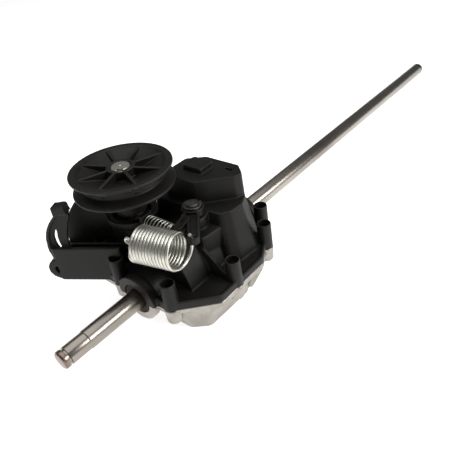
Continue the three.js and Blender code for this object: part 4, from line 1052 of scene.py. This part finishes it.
def wormShaft():
    w = wormShape
    rise = w["module"] * w["starts"] / 2  # lead per radian
    root = w["pitchRadius"] - w["dedendum"] * w["module"]
    outer = w["pitchRadius"] + w["addendum"] * w["module"]
    half = (math.pi * w["module"] / 2 - w["backlash"]) / 2
    radii = [root + (outer - root) * i / 6 for i in range(7)]

    def flank(r):
        return (half - (r - w["pitchRadius"]) * math.tan(math.pi / 9)) / rise

    points = []
    for start in range(w["starts"]):
        centre = -math.pi / 2 + 2 * math.pi * start / w["starts"]
        floorAngles = [math.pi / w["starts"] * share for share in (-1, -0.75, -0.5, 0.5, 0.75)]
        floorAngles = [angle for angle in floorAngles if abs(angle) > flank(root) + 0.02]
        spots = [(root, angle) for angle in floorAngles if angle < 0]
        spots += [(r, -flank(r)) for r in radii] + [(outer, 0)] + [(r, flank(r)) for r in radii[::-1]]
        spots += [(root, angle) for angle in floorAngles if angle > 0]
        points += [(r * math.cos(centre + angle), r * math.sin(centre + angle)) for r, angle in spots]
    core, shaft, seatTop, top = root + 0.05, w["shaft"], w["shaftSeat"], w["top"]
    bar = turned([(0, w["bottom"]), (w["journal"] - 0.4, w["bottom"]), (w["journal"], w["bottom"] + 0.4),
                  (w["journal"], -12), (core, -12), (core, seatTop - 2.5), (shaft + 1.7, seatTop - 2.5),
                  (shaft + 1.7, seatTop), (shaft, seatTop), (shaft, top - 0.6), (shaft - 0.6, top),
                  (0.9, top), (0.05, top - 0.8), (0, top - 0.8)], 96)
    combine(bar, [twisted(points, w["length"], w["steps"], 1 / rise)], "UNION")
    groove = w["clipGroove"]
    clipGroove = turned([(5.2, groove), (7, groove), (7, groove + 1.8), (5.2, groove + 1.8)], 96)
    slot = swung(block((shaft - 1.8, -1.8, w["slotBottom"]), (9, 1.8, 70)), w["keyHeading"], "Z")
    combine(bar, [clipGroove, slot], "DIFFERENCE")
    moved(smoothShaded(bar, 32), *inputSpot, 0)
    return seat(bar, "worm_shaft_ground", "input", finishes["shaft_steel"], "ground_steel", "worm_shaft")


def pulleyKey():
    w = wormShape
    key = block((w["shaft"] - 1.5, -1.5, w["keyBottom"]), (w["shaft"] + 1.7, 1.5, w["keyTop"]), 0.5)
    bevelled(key, 0.2, 50)
    moved(swung(key, w["keyHeading"], "Z"), *inputSpot, 0)

    return seat(smoothShaded(key, 35), "pulley_key_ground", "input", finishes["bearing_steel"],
                "bearing_steel", "pulley_key")


wormShaft()
pulleyKey()
print("worm shaft ready")

# worm wheel: thirty twisted involute teeth, with the clutch's hollow cone in one face
wheelShape = {"teeth": 30, "width": 12, "hub": 12, "hubStart": -9, "recess": 6, "coneRadius": 17.5,
              "coneAngle": 15, "bore": 6.15, "steps": 10}


def wormWheel():
    w, g = wheelShape, wormShape
    pitch = g["module"] * w["teeth"] / 2
    outer, root = pitch + g["addendum"] * g["module"], pitch - g["dedendum"] * g["module"]
    face = w["width"] / 2
    pressure = math.pi / 9
    baseRadius = pitch * math.cos(pressure)
    half = (math.pi * g["module"] / 2 - g["backlash"]) / 2

    def halfAngle(r):
        angle = math.acos(min(1, baseRadius / r))
        return half / pitch + (math.tan(pressure) - pressure) - (math.tan(angle) - angle)

    radii = [root + (outer - root) * i / 5 for i in range(6)]
    points = []
    for tooth in range(w["teeth"]):
        centre = math.pi / 2 + 2 * math.pi * (tooth + 0.5) / w["teeth"]
        spots = [(r, centre - halfAngle(r)) for r in radii]
        spots += [(r, centre + halfAngle(r)) for r in radii[::-1]]
        points += [(r * math.cos(angle), r * math.sin(angle)) for r, angle in spots]
    lead = math.atan(g["module"] * g["starts"] / (2 * g["pitchRadius"]))
    wheel = twisted(points, w["width"], w["steps"], math.tan(lead) / pitch)
    combine(wheel, [post(w["hub"], w["hubStart"], 0, 0, 0, 96)], "UNION")
    coneFloor = w["coneRadius"] - w["recess"] * math.tan(math.radians(w["coneAngle"]))
    hollowCone = turned([(0, face - w["recess"]), (coneFloor, face - w["recess"]),
                         (w["coneRadius"], face), (w["coneRadius"], face + 1), (0, face + 1)])
    recess = turned([(12.5, -face - 1), (pitch - 5, -face - 1), (pitch - 5, 2 - face), (12.5, 2 - face)],
                    96, 0.4)
    combine(wheel, [hollowCone, recess, post(w["bore"], -20, 20)], "DIFFERENCE")
    swung(smoothShaded(wheel, 32), 90, "Y")
    return seat(wheel, "worm_wheel_hobbed", "wheel", finishes["wheel_bronze"], "wheel_bronze", "worm_wheel")


wormWheel()
print("worm wheel ready")

# clutch cone, which slides on the axle, and the pin that drives it
coneShape = {"bore": 6.15, "neck": 10.5, "shoulder": 9, "body": 14, "grooveFloor": 9.6, "grooveHalf": 2.8,
             "flange": 2.6, "hub": 11, "engagedGap": 0.8, "slotHalf": 2.3, "slotTravel": 1.71,
             "leverSwing": 20, "fingerOffset": 5}
pinShape = {"radius": 2, "half": 9.8, "chamfer": 0.4}


def clutchCone():
    c, w = coneShape, wheelShape
    low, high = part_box("clutch_cone")
    tip, end = low.x / mm, high.x / mm
    slope = math.tan(math.radians(w["coneAngle"]))
    # how far the cone is drawn back from its seat: the gap left when the lever has swung, and the travel
    rest = c["engagedGap"] + c["fingerOffset"] * math.sin(math.radians(c["leverSwing"]))

    def coneAt(x):
        return w["coneRadius"] + (x - rest - w["width"] / 2) * slope

    grooveStart, grooveEnd = leverSpot[0] - c["grooveHalf"], leverSpot[0] + c["grooveHalf"]
    flangeEnd = grooveEnd + c["flange"]
    body = alongX([(c["bore"], tip + 2.4), (c["neck"], tip + 2.4), (c["neck"], tip), (coneAt(tip), tip),
                   (coneAt(c["shoulder"]), c["shoulder"]), (c["body"], c["shoulder"]),
                   (c["body"], grooveStart), (c["grooveFloor"], grooveStart),
                   (c["grooveFloor"], grooveEnd), (c["body"], grooveEnd), (c["body"], flangeEnd),
                   (c["hub"], flangeEnd), (c["hub"], end), (c["bore"], end)], 128, 0.3)
    pin, half = axleShape["pinSpot"], c["slotHalf"]
    combine(body, [block((pin - half, -half, -12), (pin + half + c["slotTravel"], half, 12))],
            "DIFFERENCE")
    return seat(smoothShaded(body, 32), "clutch_cone_turned", "cone", finishes["cone_aluminium"],
                "cone_aluminium", "clutch_cone")


def drivePin():
    half, r, chamfer = pinShape["half"], pinShape["radius"], pinShape["chamfer"]
    profile = [(0, -half), (r - chamfer, -half), (r, chamfer - half), (r, half - chamfer),
               (r - chamfer, half), (0, half)]
    pin = moved(turned(profile, 48), axleShape["pinSpot"], 0, 0)
    return seat(smoothShaded(pin, 30), "clutch_drive_pin_ground", "axle", finishes["bearing_steel"],
                "bearing_steel", "clutch_drive_pin")


clutchCone()
drivePin()
print("clutch ready")

# clutch lever on its shaft
leverShape = {"base": 35.6, "plate": 2.2, "top": 39.6, "hubTop": 40.3, "hub": 7, "rib": 1.3, "shaft": 4,
              "shaftTop": 42.6, "finger": 2, "fingerOffset": 5, "voxel": 0.3, "softenPasses": 3,
              "triangles": 60000}


def roundEnded(start, end, startRadius, endRadius, low, high):  # a plate with round ends
    heading = math.atan2(end[1] - start[1], end[0] - start[0])
    points = []
    for centre, radius, first in ((start, startRadius, math.pi / 2), (end, endRadius, -math.pi / 2)):
        for i in range(25):
            angle = heading + first + math.pi * i / 24
            points.append((centre[0] + radius * math.cos(angle), centre[1] + radius * math.sin(angle)))
    return raised(points, low, high)


def clutchLever():
    v = leverShape
    hook = joints["cable_spring_swing"]["pos_m"]
    tip = (hook[0] / mm - leverSpot[0], hook[1] / mm - leverSpot[1])
    low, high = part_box("lever_return_spring")
    tab = ((low.x + high.x) / 2 / mm - leverSpot[0], low.y / mm - 2.2 - leverSpot[1])
    shortTip = (tab[0], tab[1] - 2.6)
    arms = roundEnded((0, 0), tip, 3.6, 3.3, v["base"], v["top"])
    shortArm = roundEnded((0, 0), shortTip, 3.4, 2.6, v["base"], v["top"])
    springTab = block((tab[0] - 4, tab[1] - 1.6, 29.5), (tab[0] + 4, tab[1] + 1.6, v["base"] + 3), 0.6)
    tail = roundEnded((tab[0], tab[1] - 1), (tab[0] + 6, tab[1] + 4), 1.2, 1.2, 31, v["base"] + 1)
    pockets = [roundEnded((0, 0), end, radius + 0.3 - v["rib"], radius - v["rib"], v["base"] + v["plate"],
                          v["top"] + 1) for end, radius in ((tip, 3.3), (shortTip, 2.6))]
    combine(arms, [shortArm], "UNION")
    combine(arms, pockets, "DIFFERENCE")
    hub = post(v["hub"], v["base"], v["hubTop"])
    combine(arms, [springTab, tail, hub, post(3.3, v["base"], v["base"] + 3.0, *tip)], "UNION")
    ringGroove = turned([(5.3, v["hubTop"] - 0.9), (5.9, v["hubTop"] - 0.9), (5.9, v["hubTop"] + 1),
                         (5.3, v["hubTop"] + 1)], 64)
    combine(arms, [post(4.3, v["base"] - 1, 50), post(1.95, v["base"] - 1, 50, *tip), ringGroove],
            "DIFFERENCE")
    moulded(arms, v["voxel"], v["softenPasses"], v["triangles"])
    moved(arms, *leverSpot, 0)
    return seat(arms, "clutch_lever_moulding", "lever", finishes["lever_nylon"], "lever_nylon",
                "clutch_lever")


def leverShaft():
    v = leverShape
    stem = turned([(0, 20.7), (v["shaft"], 20.7), (v["shaft"], v["shaftTop"] - 0.5),
                   (v["shaft"] - 0.5, v["shaftTop"]), (0, v["shaftTop"])], 80)
    plate = roundEnded((0, 0), (0, -v["fingerOffset"]), v["shaft"], v["finger"] + 0.5, 17.3, 20.8)
    finger = moved(turned([(0, -5), (v["finger"] - 0.4, -5), (v["finger"], -4.6), (v["finger"], 17.4),
                           (0, 17.4)], 48), 0, -v["fingerOffset"], 0)
    combine(stem, [plate, finger], "UNION")
    combine(stem, [turned([(3.3, 40.5), (5, 40.5), (5, 41.8), (3.3, 41.8)], 80)], "DIFFERENCE")
    moved(smoothShaded(stem, 32), *leverSpot, 0)
    return seat(stem, "lever_shaft_ground", "lever", finishes["clip_steel"], "ground_steel", "lever_shaft")


clutchLever()
leverShaft()
print("lever ready")

# stage, light and camera; the floor's size and the lights' places and sizes are in metres
stageLook = {
    "floorDrop": 0.5, "floorSize": 6.0, "floorColour": "#f7f6f4", "floorCloud": "#fbfaf8", "glow": 0.78,
    "surround": 0.15, "focalLength": 38.23, "azimuth": -46.8, "elevation": 34.56, "roll": -8.12,
    "place": (-149.65, -188.31, 190.61),
}
lights = {
    "overheadBox": {"place": (0.05, 0.1, 0.95), "aim": (0.05, 0, 0), "size": (0.9, 1.3), "power": 5.5},
    "leftBox": {"place": (-0.75, 0.35, 0.55), "aim": (0, 0, 0), "size": (0.25, 0.9), "power": 0.3},
    "frontBox": {"place": (0.35, -0.85, 0.5), "aim": (0.05, 0, 0), "size": (0.5, 0.4), "power": 6},
}


def softLight(name, place, aim, size, power):
    lamp = bpy.data.lights.new(name, "AREA")
    lamp.shape, lamp.size, lamp.size_y = "RECTANGLE", size[0], size[1]
    lamp.energy, lamp.color = power, colour("#ffffff")[:3]
    light = bpy.data.objects.new(name, lamp)
    scene.collection.objects.link(light)
    light.location = place
    light.rotation_euler = (Vector(aim) - Vector(place)).to_track_quat("-Z", "Y").to_euler()


def studioFloor():
    size, level = stageLook["floorSize"] / 2, cadBox[0].z - stageLook["floorDrop"] * mm
    corners = [(-size, -size, level), (size, -size, level), (size, size, level), (-size, size, level)]
    mesh = bpy.data.meshes.new("studioFloor")
    mesh.from_pydata(corners, [], [(0, 1, 2, 3)])
    floor = newPiece("studioFloor", mesh)
    paper, tree, shader, place = newFinish("matPaperSweep", {"Roughness": 0.95, "Specular IOR Level": 0.1,
                                                             "Emission Color": colour("#ffffff"),
                                                             "Emission Strength": stageLook["glow"]})
    cloudy = tinted(tree, speckle(tree, place, 60, 2), stageLook["floorColour"], stageLook["floorCloud"])
    tree.links.new(cloudy, shader.inputs["Base Color"])
    floor.data.materials.append(paper)


def studioRoom():  # a pale wall behind the floor, and soft light from the room
    room = bpy.data.worlds.new("studioSurround")
    room.use_nodes = True
    tree = room.node_tree
    tree.nodes.clear()
    dimRoom = addNode(tree, "ShaderNodeBackground",
                      {"Color": colour("#ffffff"), "Strength": stageLook["surround"]})
    paleWall = addNode(tree, "ShaderNodeBackground", {"Color": colour("#ffffff"), "Strength": 1.0})
    seen = addNode(tree, "ShaderNodeLightPath").outputs["Is Camera Ray"]
    wall = addNode(tree, "ShaderNodeMixShader", {},
                   {0: seen, 1: dimRoom.outputs[0], 2: paleWall.outputs[0]})
    addNode(tree, "ShaderNodeOutputWorld", {}, {"Surface": wall.outputs[0]})
    scene.world = room


studioFloor()
for name, light in lights.items():
    softLight(name, **light)
studioRoom()
scene.view_settings.view_transform = "Standard"

camera = bpy.data.objects.new("studioCamera", bpy.data.cameras.new("studioCamera"))
scene.collection.objects.link(camera)
camera.data.lens, camera.data.sensor_width = stageLook["focalLength"], 36
camera.data.clip_start, camera.data.clip_end = 0.01, 20
camera.location = Vector(stageLook["place"]) * mm
turn = (Matrix.Rotation(math.radians(stageLook["azimuth"]), 4, "Z")
        @ Matrix.Rotation(math.radians(90 - stageLook["elevation"]), 4, "X")
        @ Matrix.Rotation(math.radians(stageLook["roll"]), 4, "Z"))
camera.rotation_euler = turn.to_euler()
scene.camera = camera

print("stage ready")
